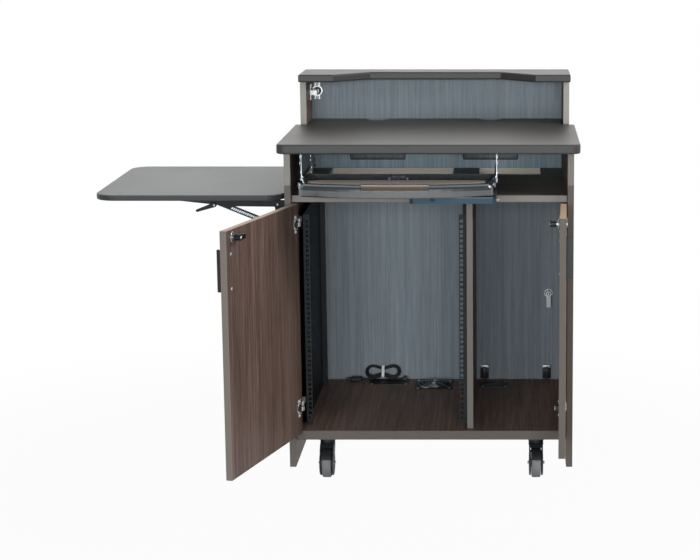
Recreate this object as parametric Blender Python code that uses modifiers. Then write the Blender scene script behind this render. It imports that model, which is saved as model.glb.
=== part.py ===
# Teaching podium on casters: a two-bay laminate cabinet with a rack bay, a pull-out keyboard tray,
# a flip-up side shelf, two front doors and a full-height rear door, shown as photographed.
# Metres, +Z up, +X to the right and +Y away from someone facing the open doors.
# The object stands on z = 0, with the middle of its footprint at the origin.

import math

import bmesh
import bpy
from mathutils import Matrix, Vector

# Cabinet
WIDTH = 0.855
DEPTH = 0.684
PANEL = 0.019
SKIRT_BOTTOM = 0.0415
BASE_TOP = 0.149
BASE_THICK = 0.028
SHELF_TOP = 0.869
SHELF_THICK = 0.020
DIVIDER_X = 0.118
DIVIDER_SETBACK = 0.026
WORKTOP_TOP = 1.0285
WORKTOP_THICK = 0.0287
WORKTOP_OVERHANG = 0.050
WORKTOP_SIDE = 0.0175
WORKTOP_CORNER = 0.025
WORKTOP_REAR_GAP = 0.012
NOTCH_WIDTH = 0.064
NOTCH_DEPTH = 0.055
NOTCH_SPREAD = 0.369
NOTCH_SHIFT = -0.009
RAISE_DEPTH = 0.189
CAP_RISE = 0.1595
CAP_THICK = 0.0247
CAP_DEPTH = 0.215
CAP_REAR_LAP = 0.006
CAP_SIDE = 0.0035
CAP_RECESS = 0.105
CAP_RECESS_WIDE = 0.640
CAP_RECESS_NARROW = 0.420
SHELF_SLOT_DEPTH = 0.157
SHELF_SLOT_SETBACK = 0.042
SHELF_SLOTS = ((-0.340, 0.056), (0.140, 0.338))
RAIL_SETBACK = 0.037
RAIL_NOTCH_WIDE = 0.210
RAIL_NOTCH_NARROW = 0.178
RAIL_NOTCH_BOTTOM = 0.896

# Doors
DOOR_GAP = 0.002
DOOR_MEET = 0.003
DOOR_CLEAR = 0.0015
DOOR_LAP = 0.002
LEFT_DOOR_OPEN = math.radians(105.8)
RIGHT_DOOR_OPEN = math.radians(88.0)
REAR_DOOR_SIDE = 0.002
REAR_DOOR_BOTTOM = 0.123
PIVOT_INSET = 0.0032
KNUCKLE_RADIUS = 0.0028
KNUCKLE_HALF = 0.013
KNUCKLE_CLEAR = 0.0006
HINGE_PIN_RADIUS = 0.0014
HINGE_PIN_REACH = 0.005
HINGE_LEAF = 0.0014
HINGE_ARM = (0.017, 0.072)
HINGE_ARM_RISE = 0.022
HINGE_ARM_HALF = 0.0075
HINGE_PLATE = (0.022, 0.060)
HINGE_PLATE_RISE = 0.0025
HINGE_PLATE_HALF = 0.025
HINGE_NOSE = 0.004
HINGE_NOSE_HALF = 0.0065
HINGE_NOSE_GAP = 0.0015
CUP_RADIUS = 0.0175
CUP_DEPTH = 0.011
CUP_FLANGE = (0.009, 0.027)
CUP_FLANGE_TOP = 0.0018
CUP_LINK_HALF = 0.006
CUP_LINK_TOP = 0.014
CUP_INSET = 0.022
REAR_CUP_INSET = 0.0345
HINGE_END = 0.058
HINGE_LOW_RISE = 0.025
REAR_HINGE_TOP = 0.043
REAR_HINGE_BOTTOM = 0.170
HANDLE_DROP = 0.0225
HANDLE_LENGTH = 0.118
HANDLE_REACH = 0.020
HANDLE_BASE = 0.016
HANDLE_LIP = 0.012
HANDLE_SHEET = 0.0025
HANDLE_INSET = 0.030
LOCK_RADIUS = 0.0095
LOCK_FLANGE_RADIUS = 0.012
LOCK_FLANGE = 0.0025
LOCK_INSET = 0.040
LOCK_DROP = 0.0215
LOCK_REACH = 0.027
CAM_LENGTH = 0.032
CAM_WIDTH = 0.014
CAM_THICK = 0.003
CAM_CLEAR = 0.002
REAR_LOCK_X = 0.368
REAR_LOCK_Z = 0.444
REAR_LOCK_REACH = 0.024
REAR_CAM_LENGTH = 0.045

# Rack bay
RACK_UNITS = 14
UNIT = 0.04445
RACK_CENTRE = -0.140
RACK_OPENING = 0.450
RACK_HOLE_SPACING = 0.4651
RACK_FRONT = 0.095
RACK_SETBACK = 0.084
RACK_FLANGE = 0.019
RACK_SHEET = 0.002
RACK_HOLE = 0.0095
RACK_BOTTOM_MARGIN = 0.0145
RACK_FOOT = 0.018

# Floor fittings
FAN_X = -0.012
FAN_SETBACK = 0.087
FAN_SIZE = 0.119
FAN_DEPTH = 0.025
FAN_BORE = 0.112
FAN_HUB = 0.040
FAN_BLADES = 7
FAN_STRUT = 0.006
FAN_SEAT = 0.004
FAN_TIP = 0.002
FAN_CHORD = 0.022
FAN_BLADE = 0.0016
FAN_ROOT = 0.003
PLATE_THICK = 0.003
LEFT_PLATE_X = -0.163
LEFT_PLATE_SETBACK = 0.052
LEFT_PLATE_SIZE = (0.130, 0.080)
RIGHT_PLATE_X = 0.186
RIGHT_PLATE_SETBACK = 0.085
RIGHT_PLATE_SIZE = (0.091, 0.080)
PLATE_SLOT = (0.060, 0.016)

# Keyboard tray, drawn out as photographed
TRAY_LEFT = -0.3715
TRAY_RIGHT = 0.193
TRAY_FRONT = -0.195
TRAY_BACK = 0.075
TRAY_BOW = 0.046
TRAY_BOTTOM = 0.890
TRAY_HEIGHT = 0.037
TRAY_WALL = 0.004
TRAY_PALM = 0.075
TRAY_CORNER = 0.030
RUNNER_WIDTH = 0.0045
RUNNER_LOW = 0.911
RUNNER_HEIGHT = 0.013
RUNNER_FRONT = -0.100
RUNNER_BACK = 0.300
HANGER_SHEET = 0.002
HANGER_FRONT = 0.020
HANGER_LENGTH = 0.400
HANGER_CLEAR = 0.0008
HANGER_GAP = 0.002
HANGER_FLANGE = 0.022
MOUSE_LEFT = -0.050
MOUSE_RIGHT = 0.200
MOUSE_FRONT = -0.170
MOUSE_DEPTH = 0.204
MOUSE_THICK = 0.011
MOUSE_DROP = 0.0022
GUIDE_WALL = 0.004
GUIDE_LIP = 0.008
GUIDE_LIP_THICK = 0.003

# Flip-up side shelf
SIDE_SHELF_LEFT = -0.997
SIDE_SHELF_FRONT = 0.023
SIDE_SHELF_SETBACK = 0.007
SIDE_SHELF_TOP = 0.870
SIDE_SHELF_THICK = 0.018
SIDE_SHELF_GAP = 0.005
SIDE_SHELF_CORNER = 0.060
FOLD_OUT = 0.0285
FOLD_Z = 0.834
BRACE_OUT = 0.0165
BRACE_Z = 0.760
BRACE_REACH = (-0.196, 0.080)
BRACKET_FRONT = 0.085
BRACKET_SETBACK = 0.084
ARM_LENGTH = 0.290
ARM_HEIGHT = 0.024
ARM_FLANGE = 0.018
ARM_FLANGE_THICK = 0.003
STRAP = 0.004
STRAP_GAP = 0.0006
PIN_RADIUS = 0.003
PIN_CLEAR = 0.0004
EAR_THICK = 0.003
EAR_RADIUS = 0.011
WALL_PLATE_WIDTH = 0.046
LEVER_SETBACK = 0.100
LEVER_HEAD = 0.007
LEVER_END = 0.004
LEVER_DROP = 0.0015
LEVER_TIP = (-0.052, -0.0175)

# Casters
CASTER_X = 0.318
CASTER_FRONT = 0.065
CASTER_SETBACK = 0.064
CASTER_PLATE = 0.060
CASTER_PLATE_THICK = 0.003
CASTER_TRAIL = 0.028
WHEEL_RADIUS = 0.045
WHEEL_WIDTH = 0.028
AXLE_RADIUS = 0.004
FORK_INSIDE = 0.034
FORK_SHEET = 0.004
FORK_TOP = 0.104
RACE_RADIUS = 0.021
FORK_EYE = 0.014
FORK_SHOULDER = 0.018
FORK_HEEL = 0.006
FORK_BACK = 0.020
FORK_CROWN = 0.004
HUB_RADIUS = 0.012
HUB_BOSS = 0.001
DISH_INNER = 0.014
DISH_OUTER = 0.030
DISH_DEPTH = 0.004
DISH_RIM = 0.034
TREAD_SHOULDER = 0.005
TREAD_ROUND = 0.006

# Tied mains lead
CORD_DIAMETER = 0.0045
HANK_LOOPS = 4
GLAND = (0.011, 0.014, 0.012)
PLUG = (0.036, 0.024, 0.0145)
PLUG_BLADE = (0.016, 0.0015, 0.0065)
PLUG_BLADE_GAP = 0.0127
HANK_RUN = 0.070
HANK_FOLD = 0.0140
HANK_STEP = 0.0053
HANK_LAYER = 0.0053
HANK_WAIST = 0.0085
HANK_LEAN = math.radians(62.0)
HANK_X = -0.186
POINTS_PER_LOOP = 24

# Seating gap between neighbouring pieces
SEAT = 0.0003
BITE = 0.002
CUT_PAST = 0.010
BOARD_EASE = 0.001
TOP_ROUND = 0.005
TRAY_ROUND = 0.004
NOSE_ROUND = 0.018
SHELF_ROUND = 0.003
MOUSE_ROUND = 0.002
PLUG_ROUND = 0.003

HALF = WIDTH / 2
INNER = HALF - PANEL
BASE_BOTTOM = BASE_TOP - BASE_THICK
SHELF_BOTTOM = SHELF_TOP - SHELF_THICK
WORKTOP_BOTTOM = WORKTOP_TOP - WORKTOP_THICK
CAP_TOP = WORKTOP_TOP + CAP_RISE
CAP_BOTTOM = CAP_TOP - CAP_THICK
CAP_REAR = DEPTH + CAP_REAR_LAP
CAP_FRONT = CAP_REAR - CAP_DEPTH
RAISE_Y = DEPTH - RAISE_DEPTH
SHELF_SLOT_REAR = DEPTH - SHELF_SLOT_SETBACK
SHELF_SLOT_FRONT = SHELF_SLOT_REAR - SHELF_SLOT_DEPTH
RAIL_Y = DEPTH - RAIL_SETBACK
RACK_REAR = DEPTH - RACK_SETBACK
FAN_Y = DEPTH - FAN_SETBACK
LEFT_PLATE = (LEFT_PLATE_X, DEPTH - LEFT_PLATE_SETBACK)
RIGHT_PLATE = (RIGHT_PLATE_X, DEPTH - RIGHT_PLATE_SETBACK)
SIDE_SHELF_REAR = DEPTH - SIDE_SHELF_SETBACK
BRACKET_Y = (BRACKET_FRONT, DEPTH - BRACKET_SETBACK)
CASTER_Y = (CASTER_FRONT, DEPTH - CASTER_SETBACK)
FACE_Y = PANEL + DOOR_CLEAR
DIVIDER_FRONT = FACE_Y + DIVIDER_SETBACK
DOOR_BOTTOM = BASE_TOP - DOOR_LAP
DOOR_TOP = SHELF_BOTTOM - DOOR_GAP
HANDLE_TOP = DOOR_TOP - LOCK_DROP - LOCK_FLANGE_RADIUS - HANDLE_DROP
REAR_FACE = DEPTH + DOOR_CLEAR
REAR_BACK = REAR_FACE + PANEL
REAR_DOOR_TOP = CAP_BOTTOM - DOOR_GAP
RACK_BOTTOM = BASE_TOP + SEAT
RACK_HEIGHT = RACK_UNITS * UNIT + 2 * RACK_BOTTOM_MARGIN
FOLD = Vector((-HALF - FOLD_OUT, 0.0, FOLD_Z))
BRACE = Vector((-HALF - BRACE_OUT, 0.0, BRACE_Z))

for old in list(bpy.data.objects):
    bpy.data.objects.remove(old, do_unlink=True)

parts = bpy.data.collections.new("teaching_podium")
tools = bpy.data.collections.new("podium_tools")
for group in (parts, tools):
    bpy.context.scene.collection.children.link(group)


def material(name, colour, roughness, metallic=0.0):
    look = bpy.data.materials.new(name)
    look.use_nodes = True
    shader = look.node_tree.nodes["Principled BSDF"]
    shader.inputs["Base Color"].default_value = (*colour, 1.0)
    shader.inputs["Roughness"].default_value = roughness
    shader.inputs["Metallic"].default_value = metallic
    return look


WALNUT = material("walnut_laminate", (0.115, 0.075, 0.060), 0.45)
GREY_WOOD = material("grey_laminate", (0.110, 0.125, 0.150), 0.45)
TAUPE = material("taupe_laminate", (0.165, 0.160, 0.160), 0.40)
LIGHT_GREY = material("light_grey_laminate", (0.340, 0.340, 0.345), 0.45)
BLACK_STEEL = material("black_steel", (0.012, 0.013, 0.016), 0.45, 0.6)
BLACK_PLASTIC = material("black_plastic", (0.015, 0.015, 0.017), 0.40)
TRAY_PLASTIC = material("tray_plastic", (0.060, 0.066, 0.080), 0.30)
NICKEL = material("nickel", (0.720, 0.720, 0.720), 0.25, 1.0)
ZINC = material("zinc", (0.600, 0.610, 0.620), 0.35, 1.0)
GREY_RUBBER = material("grey_rubber", (0.300, 0.300, 0.305), 0.70)


def home(parent):
    return Vector(parent["home"][:])


def pivot(name, at, parent=None, turn=(0.0, 0.0, 0.0)):
    empty = bpy.data.objects.new(name, None)
    empty["home"] = list(at)
    empty.location = Vector(at) - (home(parent) if parent else Vector())
    empty.rotation_euler = turn
    empty.parent = parent
    parts.objects.link(empty)
    return empty


def piece(name, bm, look, parent, at):
    bmesh.ops.recalc_face_normals(bm, faces=bm.faces)
    mesh = bpy.data.meshes.new(name)
    bm.to_mesh(mesh)
    bm.free()
    mesh.materials.append(look)
    made = bpy.data.objects.new(name, mesh)
    made.parent = parent
    made.location = Vector(at) - home(parent)
    parts.objects.link(made)
    return made


def block(name, low, high, look, parent):
    low, high = Vector(low), Vector(high)
    size = high - low
    bm = bmesh.new()
    bmesh.ops.create_cube(bm, size=1.0, matrix=Matrix.Diagonal((*size, 1.0)))
    return piece(name, bm, look, parent, (low + high) / 2)


def prism(name, outline, axis, low, high, look, parent):
    # The outline is (y, z) for axis X, (x, z) for axis Y and (x, y) for axis Z.
    spot = {
        "X": lambda a, b: (0.0, a, b),
        "Y": lambda a, b: (a, 0.0, b),
        "Z": lambda a, b: (a, b, 0.0),
    }[axis]
    along = Vector(spot(0.0, 0.0))
    along["XYZ".index(axis)] = 1.0
    origin = home(parent)
    bm = bmesh.new()
    corners = [bm.verts.new(Vector(spot(a, b)) + along * low - origin) for a, b in outline]
    face = bm.faces.new(corners)
    swept = bmesh.ops.extrude_face_region(bm, geom=[face])
    moved = [item for item in swept["geom"] if isinstance(item, bmesh.types.BMVert)]
    bmesh.ops.translate(bm, vec=along * (high - low), verts=moved)
    return piece(name, bm, look, parent, origin)


def rod(name, start, end, radius, look, parent, sides=16):
    start, end = Vector(start), Vector(end)
    along = end - start
    turn = along.to_track_quat("Z", "X").to_matrix().to_4x4()
    bm = bmesh.new()
    bmesh.ops.create_cone(
        bm, cap_ends=True, segments=sides, radius1=radius, radius2=radius, depth=along.length, matrix=turn
    )
    return piece(name, bm, look, parent, (start + end) / 2)


def combine(target, operation, helpers):
    for helper in helpers:
        parts.objects.unlink(helper)
        tools.objects.link(helper)
        helper.hide_render = True
        helper.display_type = "WIRE"
        step = target.modifiers.new(operation.lower(), "BOOLEAN")
        step.operation = operation
        step.solver = "EXACT"
        step.object = helper
    return target


def cut(target, *helpers):
    return combine(target, "DIFFERENCE", helpers)


def join(target, *helpers):
    return combine(target, "UNION", helpers)


def soften(made, width, segments=1):
    bevel = made.modifiers.new("soft_edges", "BEVEL")
    bevel.width = width
    bevel.segments = segments
    bevel.limit_method = "ANGLE"
    bevel.angle_limit = math.radians(40.0)
    return made


def soften_rim(made, width, segments, nose=None):
    # Only the edges round the top and bottom faces are rounded, not the upright ones.
    # A nose rounds the bowed front of the top more than the rest.
    mesh = made.data
    weight = mesh.attributes.new("bevel_weight_edge", "FLOAT", "EDGE")
    top = max(v.co.z for v in mesh.vertices)
    most = nose or width
    for edge in mesh.edges:
        a, b = (mesh.vertices[i].co for i in edge.vertices)
        level = abs(a.z - b.z) < 1e-6
        bowed = min(abs(a.x - b.x), abs(a.y - b.y)) > 1e-5 and a.z > top - 1e-6
        weight.data[edge.index].value = level * (1.0 if bowed else width / most)
    bevel = soften(made, most, segments).modifiers["soft_edges"]
    bevel.limit_method = "WEIGHT"
    return made


def arc(centre, radius, start, end, steps):
    return [
        (
            centre[0] + radius * math.cos(math.radians(start + (end - start) * i / steps)),
            centre[1] + radius * math.sin(math.radians(start + (end - start) * i / steps)),
        )
        for i in range(steps + 1)
    ]


podium = pivot("podium", (0.0, 0.0, 0.0))


def side_panel(name, side):
    outline = [
        (0.0, SKIRT_BOTTOM),
        (DEPTH, SKIRT_BOTTOM),
        (DEPTH, CAP_BOTTOM - SEAT),
        (RAISE_Y, CAP_BOTTOM - SEAT),
        (RAISE_Y, WORKTOP_BOTTOM - SEAT),
        (0.0, WORKTOP_BOTTOM - SEAT),
    ]
    low, high = sorted((side * HALF, side * INNER))
    return soften(prism(name, outline, "X", low, high, WALNUT, podium), BOARD_EASE)


def cam_radius(length):
    return math.hypot(length, CAM_WIDTH / 2)


def cam_sweep(length, distance):
    # Half the width that a turning cam crosses on a face at this distance from its axis.
    return math.sqrt(cam_radius(length) ** 2 - distance**2) + CAM_CLEAR


def cabinet():
    side_panel("left_side_panel", -1)
    right = side_panel("right_side_panel", 1)
    lock_y = REAR_FACE - REAR_LOCK_REACH
    sweep = cam_sweep(REAR_CAM_LENGTH, INNER - REAR_LOCK_X)
    cut(
        right,
        block(
            "rear_cam_pocket",
            (INNER - PANEL / 4, lock_y - CAM_CLEAR, REAR_LOCK_Z - sweep),
            (
                REAR_LOCK_X + cam_radius(REAR_CAM_LENGTH) + CAM_CLEAR,
                lock_y + CAM_THICK + CAM_CLEAR,
                REAR_LOCK_Z + sweep,
            ),
            WALNUT,
            podium,
        ),
    )
    inside = INNER - SEAT
    back = DEPTH - SEAT
    base = block("base_panel", (-inside, FACE_Y, BASE_BOTTOM), (inside, back, BASE_TOP), WALNUT, podium)
    soften(base, BOARD_EASE)
    reach = FAN_SIZE / 2 + SEAT
    cut(
        base,
        block(
            "fan_opening",
            (FAN_X - reach, FAN_Y - reach, BASE_BOTTOM - CUT_PAST),
            (FAN_X + reach, FAN_Y + reach, BASE_TOP + CUT_PAST),
            WALNUT,
            podium,
        ),
        cable_slot("base_slot", *RIGHT_PLATE, BASE_BOTTOM - CUT_PAST, BASE_TOP + CUT_PAST),
    )
    pocket = cam_sweep(CAM_LENGTH, LOCK_DROP + DOOR_GAP)
    shelf = block("equipment_shelf", (-inside, FACE_Y, SHELF_BOTTOM), (inside, back, SHELF_TOP), WALNUT, podium)
    soften(shelf, BOARD_EASE)
    pocket_top = DOOR_TOP - LOCK_DROP + cam_radius(CAM_LENGTH) + CAM_CLEAR
    cut(
        shelf,
        *[
            block(
                f"shelf_slot_{i}",
                (x0, SHELF_SLOT_FRONT, SHELF_BOTTOM - CUT_PAST),
                (x1, SHELF_SLOT_REAR, SHELF_TOP + 0.01),
                WALNUT,
                podium,
            )
            for i, (x0, x1) in enumerate(SHELF_SLOTS)
        ],
        *[
            block(
                f"cam_pocket_{i}",
                (x - pocket, PANEL + LOCK_REACH - CAM_THICK - CAM_CLEAR, SHELF_BOTTOM - CUT_PAST),
                (x + pocket, PANEL + LOCK_REACH + CAM_CLEAR, pocket_top),
                WALNUT,
                podium,
            )
            for i, x in enumerate((left_lock_x(), right_lock_x()))
        ],
    )
    soften(
        block(
            "divider_panel",
            (DIVIDER_X - PANEL / 2, DIVIDER_FRONT, BASE_TOP + SEAT),
            (DIVIDER_X + PANEL / 2, back, SHELF_BOTTOM - SEAT),
            WALNUT,
            podium,
        ),
        BOARD_EASE,
    )
    rail_low = SHELF_TOP + SEAT
    rail_outline = [(-inside, rail_low), (inside, rail_low), (inside, WORKTOP_BOTTOM - SEAT)]
    for centre in (NOTCH_SHIFT + NOTCH_SPREAD / 2, NOTCH_SHIFT - NOTCH_SPREAD / 2):
        rail_outline += [
            (centre + RAIL_NOTCH_WIDE / 2, WORKTOP_BOTTOM - SEAT),
            (centre + RAIL_NOTCH_NARROW / 2, RAIL_NOTCH_BOTTOM),
            (centre - RAIL_NOTCH_NARROW / 2, RAIL_NOTCH_BOTTOM),
            (centre - RAIL_NOTCH_WIDE / 2, WORKTOP_BOTTOM - SEAT),
        ]
    rail_outline.append((-inside, WORKTOP_BOTTOM - SEAT))
    prism("rear_rail", rail_outline, "Y", RAIL_Y, RAIL_Y + PANEL, GREY_WOOD, podium)


def cable_slot(name, x, y, low, high):
    wide, deep = PLATE_SLOT
    corner = (x - wide / 2, y - deep / 2, low)
    return block(name, corner, (x + wide / 2, y + deep / 2, high), WALNUT, podium)


def left_lock_x():
    return DIVIDER_X - DOOR_MEET / 2 - LOCK_INSET


def right_lock_x():
    return DIVIDER_X + DOOR_MEET / 2 + LOCK_INSET


def worktop():
    wide = HALF + WORKTOP_SIDE
    narrow = INNER - SEAT
    rear = DEPTH - WORKTOP_REAR_GAP
    front = -WORKTOP_OVERHANG
    step = RAISE_Y - SEAT
    corner = WORKTOP_CORNER
    outline = arc((-wide + corner, front + corner), corner, 180, 270, 6)
    outline += arc((wide - corner, front + corner), corner, 270, 360, 6)
    outline += [(wide, step), (narrow, step), (narrow, rear)]
    for centre in (NOTCH_SHIFT + NOTCH_SPREAD / 2, NOTCH_SHIFT - NOTCH_SPREAD / 2):
        half = NOTCH_WIDTH / 2
        slant = NOTCH_DEPTH / 4
        outline += [
            (centre + half, rear),
            (centre + half - slant, rear - NOTCH_DEPTH),
            (centre - half + slant, rear - NOTCH_DEPTH),
            (centre - half, rear),
        ]
    outline += [(-narrow, rear), (-narrow, step), (-wide, step)]
    soften_rim(prism("worktop", outline, "Z", WORKTOP_BOTTOM, WORKTOP_TOP, TAUPE, podium), TOP_ROUND, 3)


def top_cap():
    wide = HALF + CAP_SIDE
    back = CAP_FRONT + CAP_RECESS
    outline = [
        (-wide, CAP_FRONT),
        (-CAP_RECESS_WIDE / 2, CAP_FRONT),
        (-CAP_RECESS_NARROW / 2, back),
        (CAP_RECESS_NARROW / 2, back),
        (CAP_RECESS_WIDE / 2, CAP_FRONT),
        (wide, CAP_FRONT),
        (wide, CAP_REAR),
        (-wide, CAP_REAR),
    ]
    soften_rim(prism("top_cap", outline, "Z", CAP_BOTTOM, CAP_TOP, TAUPE, podium), TOP_ROUND, 3)


def hinge(name, height, wall, inward, face, into, inset, edge, axis, panel, door):
    # The arm is screwed to the side panel and ends in the pin that the door turns on.
    # The cup sits in the door panel. u runs in from the wall, and v in from the door's inner face.
    def spot(u, v, z):
        return (wall + inward * u, face + into * v, height + z)

    def slab(label, low, high, parent):
        a, b = spot(*low), spot(*high)
        return block(
            label,
            [min(p, q) for p, q in zip(a, b)],
            [max(p, q) for p, q in zip(a, b)],
            NICKEL,
            parent,
        )

    def post(label, radius, half, parent):
        return rod(label, spot(*axis, -half), spot(*axis, half), radius, NICKEL, parent)

    cup = edge + inset
    u, v = axis
    r = KNUCKLE_RADIUS
    tall = KNUCKLE_HALF
    leaf = SEAT + HINGE_LEAF
    near, far = HINGE_ARM
    plate_near, plate_far = HINGE_PLATE
    back = plate_near + HINGE_LEAF
    nose = cup - CUP_LINK_HALF - HINGE_NOSE_GAP
    arm = slab(f"{name}_arm", (SEAT, near, -HINGE_ARM_HALF), (HINGE_ARM_RISE, far, HINGE_ARM_HALF), podium)
    join(
        arm,
        slab(
            f"{name}_plate",
            (SEAT, plate_near, -HINGE_PLATE_HALF),
            (HINGE_PLATE_RISE, plate_far, HINGE_PLATE_HALF),
            podium,
        ),
        slab(
            f"{name}_nose",
            (SEAT, HINGE_NOSE, -HINGE_NOSE_HALF),
            (nose, plate_near, HINGE_NOSE_HALF),
            podium,
        ),
    )
    if u > 0:
        # An inset door: the leaf runs forward between the panel and the door's edge.
        join(
            arm,
            slab(f"{name}_leaf", (SEAT, v - r / 2, -tall), (leaf, back, tall), podium),
            slab(f"{name}_web", (SEAT, v - r / 2, -tall), (u, v + r / 2, tall), podium),
        )
        notch_v = (v - 2 * PANEL, v + r + KNUCKLE_CLEAR)
    else:
        # An overlay door: the leaf turns out across the panel's rear edge.
        gap = DOOR_CLEAR - SEAT
        join(
            arm,
            slab(f"{name}_leaf", (SEAT, SEAT, -tall), (leaf, back, tall), podium),
            slab(f"{name}_fold", (u - r / 2, SEAT, -tall), (leaf, gap, tall), podium),
            slab(f"{name}_web", (u - r / 2, v, -tall), (u + r / 2, gap, tall), podium),
        )
        notch_v = (v - r - KNUCKLE_CLEAR, PANEL)
    join(
        arm,
        post(f"{name}_knuckle", r, tall, podium),
        post(f"{name}_pin", HINGE_PIN_RADIUS, tall + HINGE_PIN_REACH, podium),
    )
    wide, high = CUP_FLANGE
    link = CUP_LINK_HALF
    flange = slab(f"{name}_cup", (cup - wide, SEAT, -high), (cup + wide, CUP_FLANGE_TOP, high), door)
    bowl_radius = CUP_RADIUS - SEAT
    floor = -CUP_DEPTH
    skin = CUP_FLANGE_TOP / 2
    join(
        flange,
        rod(f"{name}_bowl", spot(cup, floor + SEAT, 0), spot(cup, -SEAT, 0), bowl_radius, NICKEL, door, 24),
        rod(f"{name}_neck", spot(cup, floor / 2, 0), spot(cup, skin, 0), bowl_radius / 2, NICKEL, door),
        slab(f"{name}_link", (cup - link, skin, -link), (cup + link, CUP_LINK_TOP, link), door),
    )
    notch_high = tall + KNUCKLE_CLEAR
    cut(
        panel,
        rod(f"{name}_bore", spot(cup, floor, 0), spot(cup, CUT_PAST, 0), CUP_RADIUS, NICKEL, door, 24),
        slab(
            f"{name}_notch",
            (edge - PANEL, notch_v[0], -notch_high),
            (u + r + KNUCKLE_CLEAR, notch_v[1], notch_high),
            door,
        ),
        post(f"{name}_pin_bore", HINGE_PIN_RADIUS + PIN_CLEAR, notch_high + HINGE_PIN_REACH, door),
    )


def handle(name, x, side, parent):
    # A folded pull: a base on the door, a web on the free edge's side and a lip that hooks the fingers.
    section = [
        (0.0, SEAT),
        (HANDLE_BASE, SEAT),
        (HANDLE_BASE, HANDLE_SHEET),
        (HANDLE_SHEET, HANDLE_SHEET),
        (HANDLE_SHEET, HANDLE_REACH - HANDLE_SHEET),
        (HANDLE_LIP, HANDLE_REACH - HANDLE_SHEET),
        (HANDLE_LIP, HANDLE_REACH),
        (0.0, HANDLE_REACH),
    ]
    outline = [(x + side * (along - HANDLE_BASE / 2), -out) for along, out in section]
    pull = prism(name, outline, "Z", HANDLE_TOP - HANDLE_LENGTH, HANDLE_TOP, BLACK_PLASTIC, parent)
    soften(pull, HANDLE_SHEET / 4)


def cam_lock(name, x, z, outer, inner, reach, into, cam, panel, door):
    # The barrel turns in the door's bore and carries the cam on its inner end.
    axle = pivot(f"{name}_axis", (x, outer, z), door)
    tip = inner + into * reach
    head = outer - into * LOCK_FLANGE
    barrel = rod(f"{name}", (x, head, z), (x, tip, z), LOCK_RADIUS - SEAT, NICKEL, axle, 20)
    low, high = sorted((tip - into * CAM_THICK, tip))
    half = CAM_WIDTH / 2
    reach_x, reach_z = cam
    join(
        barrel,
        rod(f"{name}_flange", (x, head, z), (x, outer - into * SEAT, z), LOCK_FLANGE_RADIUS, NICKEL, axle, 20),
        block(
            f"{name}_cam",
            (x + min(reach_x, -half if reach_z else 0.0), low, z + min(reach_z, -half if reach_x else 0.0)),
            (x + max(reach_x, half if reach_z else 0.0), high, z + max(reach_z, half if reach_x else 0.0)),
            NICKEL,
            axle,
        ),
    )
    past = into * CUT_PAST
    cut(panel, rod(f"{name}_bore", (x, outer - past, z), (x, inner + past, z), LOCK_RADIUS, NICKEL, door, 20))


def front_door(name, side, opened):
    edge = INNER - DOOR_GAP
    hinge_x = side * edge
    meet_x = DIVIDER_X + side * DOOR_MEET / 2
    low, high = sorted((hinge_x, meet_x))
    axis_x = hinge_x - side * PIVOT_INSET
    swing = pivot(f"{name}_hinge", (axis_x, PIVOT_INSET, DOOR_BOTTOM), podium, (0.0, 0.0, side * opened))
    panel = soften(block(name, (low, 0.0, DOOR_BOTTOM), (high, PANEL, DOOR_TOP), WALNUT, swing), BOARD_EASE)
    heights = {"upper": DOOR_TOP - HINGE_END, "lower": DOOR_BOTTOM + HINGE_END + HINGE_LOW_RISE}
    for end, height in heights.items():
        axis = (DOOR_GAP + PIVOT_INSET, PIVOT_INSET - PANEL)
        hinge(
            f"{name}_{end}_hinge", height, side * INNER, -side, PANEL, 1, CUP_INSET, DOOR_GAP, axis, panel, swing
        )
    handle(f"{name}_handle", meet_x + side * HANDLE_INSET, side, swing)
    lock_x = left_lock_x() if side < 0 else right_lock_x()
    cam_lock(
        f"{name}_lock",
        lock_x,
        DOOR_TOP - LOCK_DROP,
        0.0,
        PANEL,
        LOCK_REACH,
        1,
        (side * CAM_LENGTH, 0.0),
        panel,
        swing,
    )


def rear_door():
    edge = HALF - REAR_DOOR_SIDE
    pin = (-edge + PIVOT_INSET, REAR_FACE + PIVOT_INSET, REAR_DOOR_BOTTOM)
    swing = pivot("rear_door_hinge", pin, podium)
    panel = soften(
        block(
            "rear_door",
            (-edge, REAR_FACE, REAR_DOOR_BOTTOM),
            (edge, REAR_BACK, REAR_DOOR_TOP),
            GREY_WOOD,
            swing,
        ),
        BOARD_EASE,
    )
    lap = -(PANEL - REAR_DOOR_SIDE)
    for end, height in (
        ("upper", REAR_DOOR_TOP - REAR_HINGE_TOP),
        ("lower", REAR_DOOR_BOTTOM + REAR_HINGE_BOTTOM),
    ):
        axis = (lap + PIVOT_INSET, -PIVOT_INSET)
        hinge(
            f"rear_door_{end}_hinge", height, -INNER, 1, REAR_FACE, -1, REAR_CUP_INSET, lap, axis, panel, swing
        )
    cam_lock(
        "rear_door_lock",
        REAR_LOCK_X,
        REAR_LOCK_Z,
        REAR_BACK,
        REAR_FACE,
        REAR_LOCK_REACH,
        -1,
        (0.0, -REAR_CAM_LENGTH),
        panel,
        swing,
    )


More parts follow.
